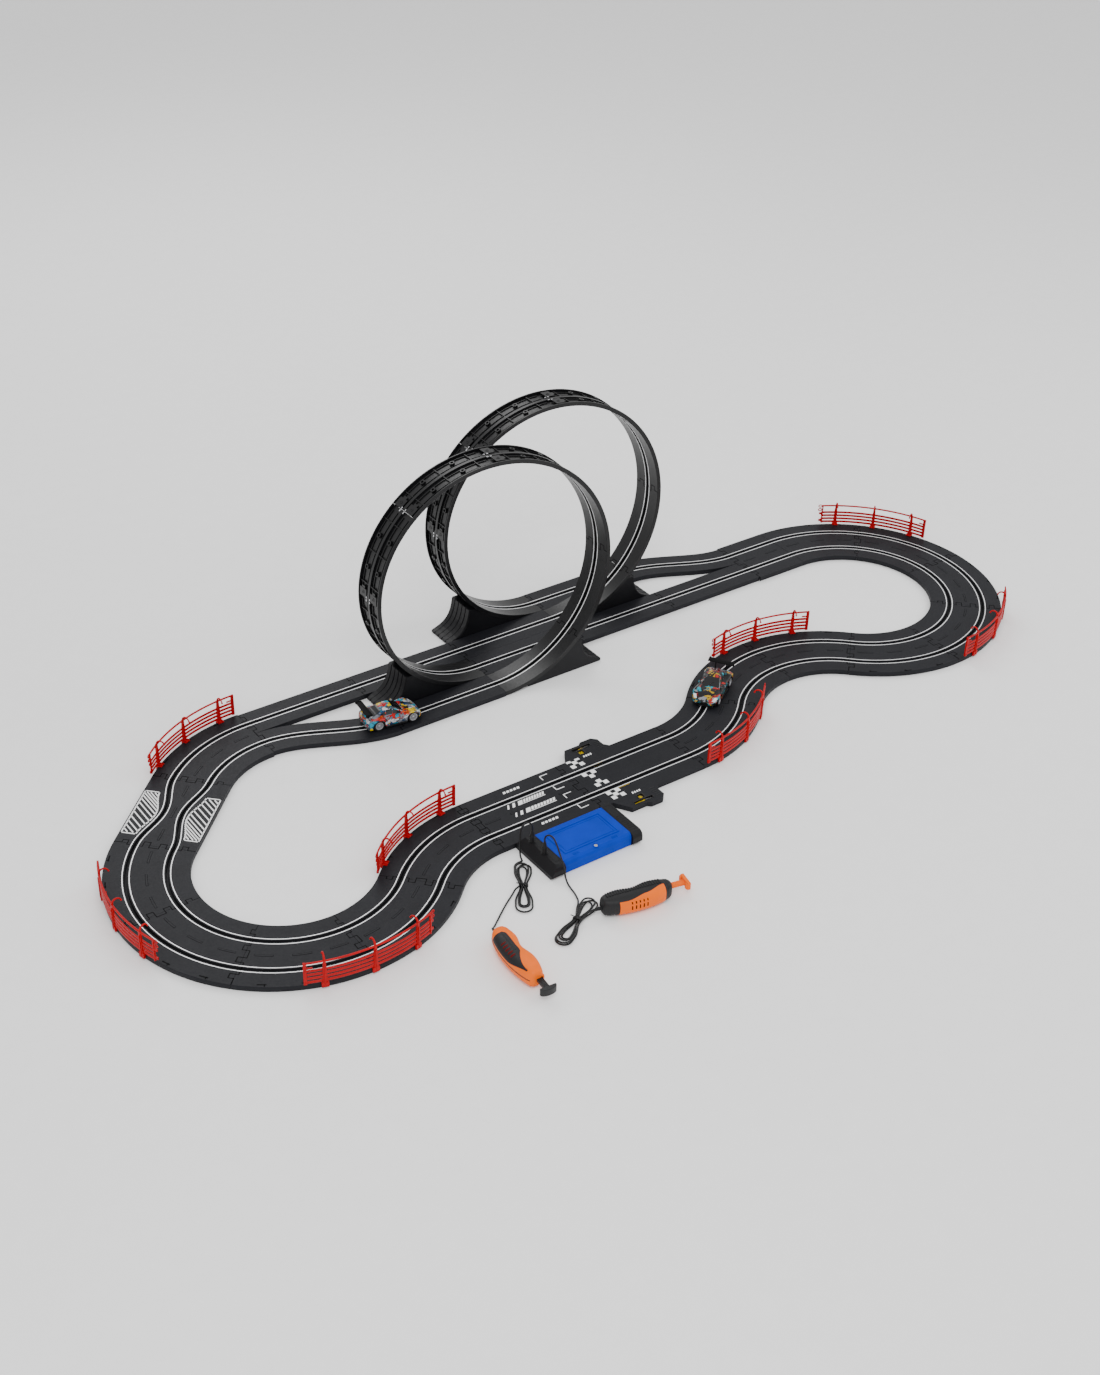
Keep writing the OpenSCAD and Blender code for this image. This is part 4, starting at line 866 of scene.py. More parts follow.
def plug(name, y, replaces):
    """Moulded plug: collar, ribbed grip and a tapered neck round the cord."""
    shape = Shape()
    outline = [(1.75, 9.6), (1.75, 21), (3.4, 21), (4.0, 21.5), (4.0, 23.0)]
    for k in range(5):
        z = 23.0 + 1.8 * k
        outline += [(3.45, z + 0.25), (3.45, z + 0.9), (4.0, z + 1.15), (4.0, z + 1.8)]
    outline += [(3.7, 32.8), (3.4, 33.2)]
    for k in range(4):
        z = 33.4 + 1.8 * k
        outline += [(3.3 - 0.32 * k, z), (3.2 - 0.32 * k, z + 1), (2.75 - 0.3 * k, z + 1.1),
                    (2.7 - 0.3 * k, z + 1.7)]
    outline += [(1.75, PLUG_TOP), (1.2, PLUG_TOP), (0.01, 30), (0.01, 9.6)]
    shape.lathe(outline, placed(PLUG_X, y), 36)
    obj = shape.build(name, "circuit", ["black"], smooth=True, slot="cord_rubber")
    if replaces:
        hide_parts(replaces)
    return obj


CORDS = (
    # plug y, bundle's x, y and heading, its turns, routes before and after it
    (-84.0, (-196, -140, 57), bundle_1,
     ((-143, -84, 41), (-143, -84, 47), (-144.5, -83.5, 53), (-149, -82.5, 57), (-154.5, -82, 57),
      (-159.5, -82, 53), (-162, -82.5, 46), (-163, -83, 34), (-163.5, -83.5, 22), (-164, -84.3, 12),
      (-164.8, -87, 6.4), (-165.8, -91, 4.3), (-167, -95, 3.9)),
     ((-214, -143, 2.8), (-220, -146.5, 1.3), (-230, -153, 1.3), (-243, -162, 1.3),
      (-257, -172.5, 1.3), (-268, -181, 1.3), (-277, -188.3, 2.2), (-283.5, -193.8, 5.4),
      (-287.2, -197.8, 9.6), (-288.6, -200.2, 11.7), (-288.95, -202.05, 12), (-289.39, -207.03, 12))),
    (-115.0, (-176, -241, 29), bundle_2,
     ((-143, -115, 41), (-143, -115, 47), (-141.5, -117, 52.5), (-139, -121.5, 55),
      (-137, -128, 53), (-136.5, -135, 46), (-137, -143, 37), (-138, -150, 30), (-139, -156, 22),
      (-139.5, -160, 13), (-140, -164, 6), (-141, -170, 1.8), (-143, -180, 1.3), (-145, -192, 1.3),
      (-149, -205, 1.3), (-152.5, -210.5, 1.6), (-156.1, -215.4, 3.9)),
     ((-178, -249.9, 5.6), (-170.6, -246.7, 8), (-163.4, -245.2, 10.6), (-157.8, -244.9, 11.8),
      (-152.76, -245.61, 12), (-147.86, -246.6, 12))),
)


def add_cords():
    for n, (plug_y, (x, y, heading), turns, up, out) in enumerate(CORDS, 1):
        matrix = placed(x, y, 0, heading)
        middle = [matrix @ Vector(p) for p in turns()]
        line = [*smooth_line(up, 4)[:-1], *middle, *smooth_line([middle[-1], *out], 4)[1:]]
        curve = bpy.data.curves.new(f"cord_{n}_line", "CURVE")
        curve.dimensions = "3D"
        curve.bevel_depth = CORD_R * MM
        curve.bevel_resolution = 4
        curve.use_fill_caps = True
        spline = curve.splines.new("POLY")
        spline.points.add(len(line) - 1)
        for point, p in zip(spline.points, line):
            point.co = (*(Vector(p) * MM), 1)
        curve.materials.append(MATERIALS["cord"])
        obj = bpy.data.objects.new(f"controller_cord_{n}", curve)
        bpy.context.scene.collection.objects.link(obj)
        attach(obj, "circuit")
        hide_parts(f"cord_{n}", f"hank_{n}")
        length = sum((Vector(q) - Vector(p)).length for p, q in zip(line, line[1:]))
        pieces = (
            plug(f"plug_{n}", plug_y, "cord_plugs" if n == 1 else None),
            tie(f"cord_tie_{n}", matrix))


# ---- markings on the front pieces ------------------------------------------------------
MARK_H = 0.06
BRACKET_W = 1.5
CHEQUER_HALF = 4.0
# the hatched lenses, measured from the chicane's centre line
LENS_SHIFT = 8.0
LENS_HALF = 52.0
LENS_IN = 35.0
LENS_OUT = 59.0
LENS_BULGE = 12.0
LENS_LINE = 2.0
STRIPE_W = 3.0
STRIPE_PITCH = 8.6


def mark(shape, x0, y0, x1, y1, slant=0.0):
    """Flat printed patch, with its far edge moved along x by slant."""
    shape.prism([(x0, y0), (x1, y0), (x1 + slant, y1), (x0 + slant, y1)], TOP, TOP + MARK_H)


def corner_bracket(shape, x, y, arm_x, arm_y):
    half = BRACKET_W / 2
    mark(shape, min(x, x + arm_x), y - half, max(x, x + arm_x), y + half)
    mark(shape, x - half, min(y, y + arm_y), x + half, max(y, y + arm_y))


def lens_edge(x):
    """Distance of a lens's bulging edge from the chicane's centre line."""
    return LENS_IN - LENS_BULGE * math.cos(math.pi * x / (2 * LENS_HALF)) ** 2


def add_lens(shape, side):
    """Hatched lens at one side of the chicane."""
    middle = CHICANE_L / 2 - LENS_SHIFT
    inside = LENS_HALF - LENS_LINE
    top = LENS_OUT - 1

    def lens_mark(x0, x1, y0, y1, slant=0.0):
        # turned by half a turn for the other side, so that the hatching runs the same way
        corners = ((x0, y0), (x1, y0), (x1 + slant, y1), (x0 + slant, y1))
        points = [CHICANE.place(middle + side * x, side * y, 0) for x, y in corners]
        shape.sweep([points, [p + Vector((0, 0, MARK_H)) for p in points]])

    steps = 24
    for k in range(steps):
        x0 = -LENS_HALF + 2 * LENS_HALF * k / steps
        x1 = x0 + 2 * LENS_HALF / steps
        y = lens_edge((x0 + x1) / 2)
        lens_mark(x0, x1, y, y + LENS_LINE)
    lens_mark(-LENS_HALF, LENS_HALF, LENS_OUT - LENS_LINE, LENS_OUT)
    for x in (-LENS_HALF, inside):
        lens_mark(x, x + LENS_LINE, LENS_IN, LENS_OUT)
    # slanted stripes at an even pitch, cut off at the lens's ends
    for k in range(14):
        x = -72 + STRIPE_PITCH * k
        low = lens_edge(min(inside, max(-inside, x + 4))) + 1
        start = max(0, -inside - x)
        end = min(top - low, inside - STRIPE_W - x)
        if end - start > 2:
            lens_mark(x + start, x + start + STRIPE_W, low + start, low + end, end - start)


def add_markings():
    shape = Shape()
    # grid places on the start piece
    for x, y, arm_y in ((-34, 53, -10), (-30, -3.5, -10), (-31, 12, 10), (-27, -45, 10)):
        corner_bracket(shape, x, y, 14, arm_y)
    # along each lane: three slanted strokes that grow, then narrow bars over a thin line
    for low, x0, x1 in ((11, -120, -52), (-10, -120, -46)):
        for start, width in ((0, 3), (9, 4.5), (19, 8)):
            mark(shape, x0 + start, low, x0 + start + width, low + 9, 5)
        count = 8
        pitch = (x1 - x0 - 30) / count
        for k in range(count):
            mark(shape, x0 + 30 + k * pitch, low + 2.4, x0 + 30 + (k + 0.74) * pitch, low + 9, 3.6)
        mark(shape, x0 + 28, low, x1, low + 1.4)
    # a row of blocks near each edge
    for low, x0 in ((46, -104), (-46, -98)):
        for k in range(5):
            x = x0 + 6.2 * k
            mark(shape, x, low, x + 4.4, low + 4.6, 1.4)
    # chequered line on the lap counter piece, which the track's edge cuts off
    half = CHEQUER_HALF
    edge = TRACK_W / 2 - 0.4
    squares = ((24, 60), (40, 60), (32, 53), (24, 45), (40, 45), (26, 19), (42, 19), (34, 11),
               (35, -5), (28, -12), (43, -12), (29, -38), (45, -38), (37, -45), (30, -51), (46, -51))
    for x, y in squares:
        mark(shape, x - half, max(y - half, -edge), x + half, min(y + half, edge))
    # bars beside the number windows
    for x, y in ((52, 56.5), (58, -59)):
        for k in range(4):
            mark(shape, x + 4.2 * k, y, x + 4.2 * k + 2.6, y + 4, 0.8)
    for side in (-1, 1):
        add_lens(shape, side)
    shape.build("printed_markings", "circuit", ["white"], slot="track_plastic")


# ---- lap counters -----------------------------------------------------------------------
LAP_DIALS = ((64.5, 70, 1, "far"), (56.5, -70, -1, "near"))
WINDOW_REACH = 8.0
DIAL_TOP = 3.6
SEGMENTS = {
    # strokes of a plain digit, as x0, y0, x1, y1 in a cell 2 wide and 4 high
    "far": ((0, 4, 2, 4), (2, 4, 2, 0)),
    "near": ((0, 4, 2, 4), (0, 4, 0, 0), (0, 0, 2, 0), (2, 0, 2, 2), (2, 2, 0, 2)),
}


def add_lap_counters():
    for node in ("near_lap_dial", "far_lap_dial", "near_lap_lever", "far_lap_lever"):
        dress(node, "yellow", 0.12)
    frame_shape = Shape()
    for x, y, side, name in LAP_DIALS:
        # the digit under the window stands upright, on the dial's left or right
        window = x - side * WINDOW_REACH
        start = 180 if name == "far" else 0
        # raised frame round the number window
        ring_frame(frame_shape, (window - 6.2, y - 6), (window + 6.2, y + 6), TOP, TOP + 0.5, 1.6)
        digits = Shape()
        for k in range(8):
            matrix = (placed(x, y, DIAL_TOP) @ turned(45 * k) @ turned(start)
                      @ moved(WINDOW_REACH, 0, 0) @ turned(-start))
            for x0, y0, x1, y1 in SEGMENTS[name]:
                digits.box((min(x0, x1) - 1.3, min(y0, y1) - 2.3, 0),
                           (max(x0, x1) - 0.7, max(y0, y1) - 1.7, 0.12), matrix)
        digits.build(f"{name}_dial_digits", f"{name}_dial", ["groove"], slot="yellow_plastic")
        # rim round the slit over the dial
        slit = side * 79.5
        ring_frame(frame_shape, (45, slit - 3.5), (81, slit + 3.5), TOP, TOP + 0.35, 1.0)
        # ribs along the bulge
        for k in range(5):
            low = side * (62.6 + 4.5 * k)
            frame_shape.box((86, low - 0.6, TOP), (95, low + 0.6, TOP + 0.3))
    frame_shape.build("counter_frames", "circuit", ["black"], bevel=0.12, slot="track_plastic")


# ---- fences ---------------------------------------------------------------------------
FENCE_IN = CURVE_R + TRACK_W / 2 + 0.3
FENCE_T = 1.7
FENCE_TURN = 44.0
FENCE_H = 40.0
SLAT_H = 3.9
SLAT_GAP = 2.5
SLATS = 4
RAIL_R = 1.5
HOOK_R = 7.8
HOOK_ROD = 1.3
POST_SHARES = (-0.36, 0, 0.36)


def fence_place(cx, cy, middle):
    def place(s, a, b):
        t = math.radians(middle) + s / FENCE_IN
        return Vector((cx + (FENCE_IN + a) * math.cos(t), cy + (FENCE_IN + a) * math.sin(t), b))
    return place


def fence_places():
    def centre(piece):
        x, y, heading, turn = piece
        h = math.radians(heading)
        return x - turn * CURVE_R * math.sin(h), y + turn * CURVE_R * math.cos(h)
    left = [(*centre(LAST_LEFT), 113), (*centre(LEFT_CHAIN[1]), 178), (*centre(LEFT_CHAIN[1]), 268.5),
            (-START_L, -CURVE_R, 113)]
    right = [(LAP_L, CURVE_R, 293.5), (*centre(RIGHT_CHAIN[2]), 84), (RIGHT_X, CURVE_R, 294.5),
             (RIGHT_X, CURVE_R, 39.5)]
    return left, right


def fence_post(shape, place, s, top_slat, top):
    """Post that narrows upwards, with a rib on its back, a curled head and a clip at its foot."""
    for low, high, w0, w1 in ((2, top_slat, 2.9, 2.6), (top_slat, top - 1, 2.5, 1.5)):
        shape.sweep([
            [place(s + t * w, a, z) for t, a in ((-1, -0.4), (-1, 2.8), (1, 2.8), (1, -0.4))]
            for z, w in ((low, w0), (high, w1))])
    shape.bar(place, s - 0.6, s + 0.6, 2.8, 3.8, 4, top - 8)
    # head that curls over towards the track, with a ball at its tip
    arc = []
    reach = HOOK_R - HOOK_ROD
    for k in range(13):
        t = math.radians(-8 + 175 * k / 12)
        arc.append(place(s, 2 - HOOK_R + reach * math.cos(t), top - 1 + reach * math.sin(t)))
    shape.tube(arc, HOOK_ROD, 10, radii=[1.6 - 0.05 * k for k in range(13)])
    shape.lathe([(0.05, -1.5), (1.1, -1.1), (1.6, 0), (1.1, 1.1), (0.05, 1.5)],
                Matrix.Translation(arc[-1]), 12)
    # clip on the track's edge
    shape.bar(place, s - 5, s + 5, -6, 0.2, TOP, TOP + 1.8, 2)
    shape.bar(place, s - 5, s + 5, 0, 3.2, 2, 10, 2)
    for rib in (s - 3.4, s + 2.4):
        shape.bar(place, rib, rib + 1, -6, 1, TOP + 1.8, TOP + 3.4)


def one_fence(shape, place):
    half = math.radians(FENCE_TURN) / 2 * FENCE_IN
    base = TOP + 3
    steps = 26
    # slats with rounded edges
    for i in range(SLATS):
        low = base + i * (SLAT_H + SLAT_GAP)
        high = low + SLAT_H
        rings = []
        for k in range(steps + 1):
            s = -half + 2 * half * k / steps
            rings.append([place(s, a, b) for a, b in (
                (0, low + 0.6), (0, high - 0.6), (0.5, high), (FENCE_T - 0.4, high),
                (FENCE_T, high - 0.6), (FENCE_T, low + 0.6), (FENCE_T - 0.4, low), (0.5, low))])
        shape.sweep(rings)
    # thin round rail on top
    top = TOP + FENCE_H
    rail_z = top - 2.4
    shape.tube([place(-half + 2 * half * k / 40, 1.2, rail_z) for k in range(41)], RAIL_R, 10)
    top_slat = base + SLATS * (SLAT_H + SLAT_GAP) - SLAT_GAP
    for share in POST_SHARES:
        fence_post(shape, place, 2 * half * share, top_slat, top)
    # end post with a cut corner and two bolts
    outline = ((-half - 0.6, base - 1), (4 - half, base - 1), (4 - half, rail_z - 1),
               (2 - half, rail_z + 1.4), (-half - 0.6, rail_z + 1.4))
    shape.sweep([[place(s, a, z) for s, z in outline] for a in (-0.3, 2.6)])
    for z in (base + 2, top_slat - 2):
        shape.bar(place, 0.6 - half, 2.8 - half, 2.6, 3.2, z - 1.1, z + 1.1)
    # short bar above the slats, between the end post and the first post
    shape.bar(place, 3 - half, 12 - half, 0, FENCE_T, top_slat + 2, top_slat + 4, 4)
    # other end: a narrow post, two arms and two open loops that hook into the next fence
    shape.bar(place, half - 3.2, half - 1.2, -0.2, 2.4, base - 1, rail_z + 1)
    for low in (base + 3, top_slat - 6):
        shape.bar(place, half - 2, half + 4, 0, FENCE_T, low, low + 4, 2)
    for z in (rail_z - 0.4, rail_z - 8):
        angles = [math.radians(24 * k) for k in range(16)]
        shape.tube([place(half + 2.6 - 3.2 * math.cos(t), 1.2, z + 2.3 * math.sin(t)) for t in angles],
                   0.9, 8)


def add_fences():
    for node, places in zip(("left_fences", "right_fences"), fence_places()):
        shape = Shape()
        for cx, cy, middle in places:
            one_fence(shape, fence_place(cx, cy, middle))
        shape.build(f"{node}_detail", "circuit", ["red"], smooth=True, bevel=0.25, replaces=[node],
                    slot="fence_plastic")


# ---- battery box -----------------------------------------------------------------------
BOX_H = 21.0
BOX_X = (-155.0, 5.0)
BOX_Y = (-152.0, -61.3)
LID_X = (-130.6, -12.4)
LID_Y = (-148.0, -72.5)
SCREW_X = -71.5
SCREW_Y = -141.0


def ring_frame(shape, low, high, z0, z1, width):
    """Raised rim of even width round a rectangle."""
    (x0, y0), (x1, y1) = low, high
    shape.box((x0, y0, z0), (x1, y0 + width, z1))
    shape.box((x0, y1 - width, z0), (x1, y1, z1))
    shape.box((x0, y0 + width, z0), (x0 + width, y1 - width, z1))
    shape.box((x1 - width, y0 + width, z0), (x1, y1 - width, z1))


def add_battery_box():
    dress("battery_base", "box", 0.5)
    dress("battery_lid", "blue", 0.4)
    dress("lid_screw", "steel", 0.1)
    dress("batteries", "cell", 0.3)
    dress("battery_contacts", "steel")
    lid = Shape()
    top = BOX_H
    # embossed panel: a raised rim with a lower one inside it
    for inset, high, width in ((11, 0.8, 2.0), (16, 0.45, 1.2)):
        ring_frame(lid, (LID_X[0] + inset, LID_Y[0] + inset + 4), (LID_X[1] - inset, LID_Y[1] - inset + 2),
                   top - 0.1, top + high, width)
    # pads at the edge for the fingers
    for side in (-1, 1):
        x = SCREW_X + side * 34
        for k in range(6):
            left = x - 5 + 1.8 * k
            lid.box((left, LID_Y[0] + 5.8, top - 0.1), (left + 0.9, LID_Y[0] + 10.5, top + 0.4))
    # rim round the screw
    lid.lathe([(3.9, -0.1), (3.9, 0.35), (5.0, 0.35), (5.2, -0.1)], placed(SCREW_X, SCREW_Y, top), 32)
    lid.build("cover_relief", "battery_cover", ["blue"], bevel=0.12, slot="lid_plastic")
    box = Shape()
    # seams, ribs and sockets of the end caps
    for x0, x1 in ((BOX_X[0] + 14, BOX_X[0] + 23), (BOX_X[1] - 15, BOX_X[1] - 2)):
        ring_frame(box, (x0, BOX_Y[0] + 12), (x1, BOX_Y[1] - 13), BOX_H - 0.1, BOX_H + 0.25, 0.7)
    for k in range(8):
        y = -100 + 4.4 * (k - 8)
        box.box((BOX_X[1] - 12.5, y, BOX_H - 0.1), (BOX_X[1] - 4.5, y + 1.5, BOX_H + 0.3))
    for y, *_ in CORDS:
        box.lathe([(1.9, -0.1), (1.9, 0.4), (5.4, 0.4), (5.7, -0.1)], placed(PLUG_X, y, BOX_H), 32)
    # ribbed joint between the box and the start piece
    for k in range(15):
        x = BOX_X[0] + 14 + 10 * k
        box.box((x, BOX_Y[1] - 9, 7.8), (x + 5, BOX_Y[1] - 1.4, 8.5))
    box.build("box_relief", "circuit", ["box"], bevel=0.1, slot="dark_plastic")


# ---- controllers --------------------------------------------------------------------------
GRIP_L = 107.0
GRIP_W = 42.0
GRIP_T = 30.0
CONTROLLERS = ((-290, -214, -95), (-141, -248, -11.5))


def grip_right(f):
    return GRIP_W * 0.48 * max(math.sin(math.radians(180 * (0.06 + 0.88 * f))), 0) ** 0.45 - 2 * f


def grip_left(f):
    waist = 1 - 0.42 * math.exp(-((f - 0.45) / 0.16) ** 2)
    return GRIP_W * 0.46 * max(math.sin(math.radians(180 * (0.06 + 0.88 * f))), 0) ** 0.4 * waist


def grip_surface(f, turn, out=0.0):
    """Point of a controller's body: share of its length, and share of a turn round it."""
    f = min(1.0, max(0.0, f))
    # the ends are rounded off within the last few millimetres
    close = min(f, 1 - f) * GRIP_L / 7.0
    cap = math.sqrt(max(0.0, 1 - (1 - min(1.0, close)) ** 2))
    right, left = grip_right(f), grip_left(f)
    t = 2 * math.pi * turn
    c, n = math.cos(t), math.sin(t)
    half = left if c > 0 else right
    y = half * math.copysign(abs(c) ** 0.72, c)
    z = (GRIP_T / 2 - 0.4) * math.copysign(abs(n) ** 0.72, n) * (0.93 + 0.07 * math.cos(math.pi * (f - 0.5)))
    shrink = 0.55 + 0.45 * cap
    away = Vector((0, c, n)) * out
    return Vector((f * GRIP_L, y * shrink, GRIP_T / 2 + z * shrink)) + away


def patch(shape, surface, f0, f1, low, high, out, n=24, m=10, slot=0, deep=-0.5):
    """Plate on a surface between two lengths, from turn low(f) to turn high(f)."""
    rings = []
    for i in range(n + 1):
        f = f0 + (f1 - f0) * i / n
        t0, t1 = low(f), high(f)
        ring = [surface(f, t0, deep)]
        ring += [surface(f, t0 + (t1 - t0) * j / m, out) for j in range(m + 1)]
        ring.append(surface(f, t1, deep))
        rings.append(ring)
    shape.sweep(rings, slot)


def grip_body(shape, matrix, ribs):
    rings = []
    n = 96
    for i in range(n + 1):
        f = i / n
        groove = 0.0
        for start, end in ribs:
            if start < f < end:
                groove = 0.45 * (0.5 - 0.5 * math.cos(2 * math.pi * f * GRIP_L / 3.4))
        rings.append([matrix @ grip_surface(f, k / 56, -groove) for k in range(56)])
    shape.sweep(rings)


def placed_surface(matrix):
    return lambda f, turn, out=0.0: matrix @ grip_surface(f, turn, out)


def cord_sleeve(shape, matrix, slot):
    outline = [(1.35, -12), (1.9, -12)]
    for k in range(5):
        x = -11.0 + 2.4 * k
        r = 1.95 + 0.27 * k
        outline += [(r, x), (r + 0.12, x + 0.9), (r - 0.35, x + 1.1), (r - 0.3, x + 2.0)]
    outline += [(3.4, 2.5), (1.35, 2.5)]
    shape.lathe(outline, matrix @ moved(0, 0, GRIP_T / 2 - 3) @ turned(90, "Y"), 24, slot)


def nose_rings(shape, matrix, x, y, pitch, radii, low, high, cut):
    """Stepped rings round the plunger's way out, with a chamfer as wide as cut."""
    for k, r in enumerate(radii):
        ring = matrix @ moved(x + pitch * k, y, GRIP_T / 2) @ turned(90, "Y")
        shape.lathe([(5.4, low), (5.4, high), (r - cut, high), (r, high - cut), (r, low)], ring, 28)


def plunger_ribs(shape, stem, count, start, pitch, y, z):
    for k in range(count):
        x = start + pitch * k
        shape.box((x, -y, -z), (x + 1.4, y, z), stem)


def add_controller_1():
    x, y, heading = CONTROLLERS[0]
    matrix = placed(x, y, 0, heading)
    surface = placed_surface(matrix)
    body = Shape()
    grip_body(body, matrix, ((0.03, 0.2),))
    cord_sleeve(body, matrix, 1)
    # seam between the two halves
    for side in (0.0, 0.5):
        patch(body, surface, 0.03, 0.97, lambda f: side - 0.003, lambda f: side + 0.003, 0.12, 40, 1, 1)
    nose_rings(body, matrix, GRIP_L - 2.6, 4, 1.3, (8.5, 7.6), -0.6, 1.2, 0.4)
    # screw recesses on the upper half
    for fx, side in ((0.12, 0.2), (0.86, 0.3)):
        centre = grip_surface(fx, side)
        body.lathe([(1.1, -0.6), (1.1, -0.1), (1.9, 0.12), (2.3, -0.6)],
                   matrix @ Matrix.Translation(centre), 20)
    body.build("controller_1_grip", "circuit", ["orange", "soft_black"], smooth=True,
               replaces=["controller_1_body"], slot="orange_plastic")
    panel = Shape()

    def low(f):
        return 0.53 + 0.10 * smooth_step((f - 0.55) / 0.4)

    def high(f):
        return 0.76 - 0.10 * smooth_step((f - 0.5) / 0.4) - 0.03 * smooth_step((0.2 - f) / 0.1)
    patch(panel, surface, 0.14, 0.9, lambda f: 1 - high(f), lambda f: 1 - low(f), 0.55, 60, 12)
    patch(panel, surface, 0.17, 0.52, lambda f: 1.015 - high(f), lambda f: 1.03 - high(f), 0.85, 30, 2)
    # slanted vents: a frame, and a dark red plate a little inside it, which is painted shade for the inside
    # of each slot
    for k in range(5):
        f = 0.34 + 0.062 * k
        for half, t0, t1, out, slot in ((0.020, 0.285, 0.385, 0.8, 0), (0.012, 0.297, 0.373, 0.92, 1)):
            patch(panel, surface, f - half, f + half, lambda g: t0 + 0.8 * (g - f),
                  lambda g: t1 + 0.8 * (g - f), out, 4, 4, slot)
    panel.build("controller_1_side", "circuit", ["soft_black", "vent"], smooth=True, bevel=0.15,
                replaces=["controller_1_panel"], slot="dark_plastic")
    plunger = Shape()
    stem = matrix @ moved(GRIP_L, 4, GRIP_T / 2)
    plunger.box((-20, -4.4, -2.2), (22, 4.4, 2.2), stem)
    plunger_ribs(plunger, stem, 7, 1.5, 2.9, 4.5, 2.5)
    # paddle shaped like a D
    outline = [(20.5, -12), (23, -12.4)]
    outline += [(23 + 5.2 * math.cos(math.radians(t)), 12 * math.sin(math.radians(t)))
                for t in range(-80, 90, 16)]
    outline += [(23, 12.4), (20.5, 12)]
    plunger.prism(outline, -5.4, 5.4, stem)
    plunger.build("controller_1_trigger", "plunger_1", ["black"], bevel=0.6,
                  replaces=["controller_1_plunger"], slot="dark_plastic")
    dress("controller_1_spring", "steel")


def add_controller_2():
    x, y, heading = CONTROLLERS[1]
    matrix = placed(x, y, 0, heading)
    surface = placed_surface(matrix)
    body = Shape()
    grip_body(body, matrix, ((0.03, 0.16), (0.88, 0.97)))
    cord_sleeve(body, matrix, 0)
    # ridged strip along the top
    for k in range(22):
        f = 0.08 + 0.036 * k
        patch(body, surface, f, f + 0.018, lambda g: 0.15, lambda g: 0.25, 0.9, 2, 6)
    nose_rings(body, matrix, GRIP_L - 3.4, 3, 1.5, (10.0, 8.8), -1, 1.4, 0.5)
    body.build("controller_2_grip", "circuit", ["soft_black"], smooth=True,
               replaces=["controller_2_body"], slot="dark_plastic")
    panel = Shape()

    def upper(f):
        return 0.385 - 0.06 * smooth_step((f - 0.3) / 0.3) - 0.055 * smooth_step((f - 0.6) / 0.25)

    patch(panel, surface, 0.2, 0.87, upper, lambda f: 0.68, 0.6, 60, 16)
    # a narrower panel on the far side
    patch(panel, surface, 0.2, 0.86, lambda f: -0.16, lambda f: 0.07, 0.6, 50, 10)
    # two rows of slanted vents, each a frame with a black plate a little inside it, which is painted shade
    # for the inside of the slot
    for k in range(5):
        for t in (0.41, 0.475):
            f = 0.36 + 0.055 * k
            for half, t0, t1, out, slot in ((0.013, -0.004, 0.05, 0.85, 0), (0.008, 0.004, 0.042, 0.95, 1)):
                patch(panel, surface, f - half, f + half, lambda g: t + t0 + 0.5 * (g - f),
                      lambda g: t + t1 + 0.5 * (g - f), out, 3, 4, slot)
    panel.build("controller_2_side", "circuit", ["orange", "groove"], smooth=True, bevel=0.15,
                replaces=["controller_2_panel"], slot="orange_plastic")
    plunger = Shape()
    stem = matrix @ moved(GRIP_L, 4, GRIP_T / 2)
    plunger.box((-20, -4.3, -2.1), (23, 4.3, 2.1), stem)
    plunger_ribs(plunger, stem, 8, 0.8, 2.7, 4.6, 2.6)
    plunger.box((22.5, -12, -5.8), (27.6, 12, 5.8), stem)
    for side in (-1, 1):
        plunger.box((20.4, side * 9 - 2.6, -4.6), (22.6, side * 9 + 2.6, 4.6), stem)
    plunger.build("controller_2_trigger", "plunger_2", ["orange"], bevel=0.7,
                  replaces=["controller_2_plunger"], slot="orange_plastic")
    dress("controller_2_spring", "steel")


# ---- cars ------------------------------------------------------------------------------------
WHEELBASE = 58.0
TYRE_D = 18.8
TYRE_W = 8.0
HUB_R = 6.0
AXLE_Z = 9.4
CAR_LIFT = 8.15
GUIDE_X = 37.0
TRACK_HALF = 22.0
ARC_2 = -50.4
CARS = (
    (-105.0, LANE_A, -6.7),
    (LAP_L + (CURVE_R - LANE_Y) * math.cos(math.radians(ARC_2)),
     CURVE_R + (CURVE_R - LANE_Y) * math.sin(math.radians(ARC_2)), 213.0),
)
# along the car from tail to nose: half-width, height of the shoulder, height and half-width of the roof
CAR_X = (-47, -45, -39, -29, -24, -16, -6, 0, 8, 14, 22, 30, 37, 43, 46.2)
CAR_HALF = (19.0, 21.4, 22.6, 22.9, 22.4, 21.2, 20.9, 21.0, 21.6, 22.2, 22.8, 22.9, 21.6, 18.0, 13.0)
CAR_SHOULDER = (14.0, 17.4, 20.4, 22.2, 21.4, 19.4, 18.4, 18.0, 18.0, 18.6, 19.8, 19.6, 16.4, 12.2, 9.2)
CAR_ROOF = (15.4, 19.6, 22.6, 26.2, 28.8, 31.2, 31.6, 30.4, 26.0, 22.4, 20.9, 19.6, 17.2, 13.4, 9.8)
CAR_TOP_HALF = (15.0, 16.5, 15.6, 13.6, 12.4, 12.2, 12.4, 12.8, 14.4, 15.4, 16.0, 15.8, 14.0, 11.0, 8.0)
ARCH_R = 10.8
SILL_Z = 5.2
CAR_PATCH_DEEP = -0.4


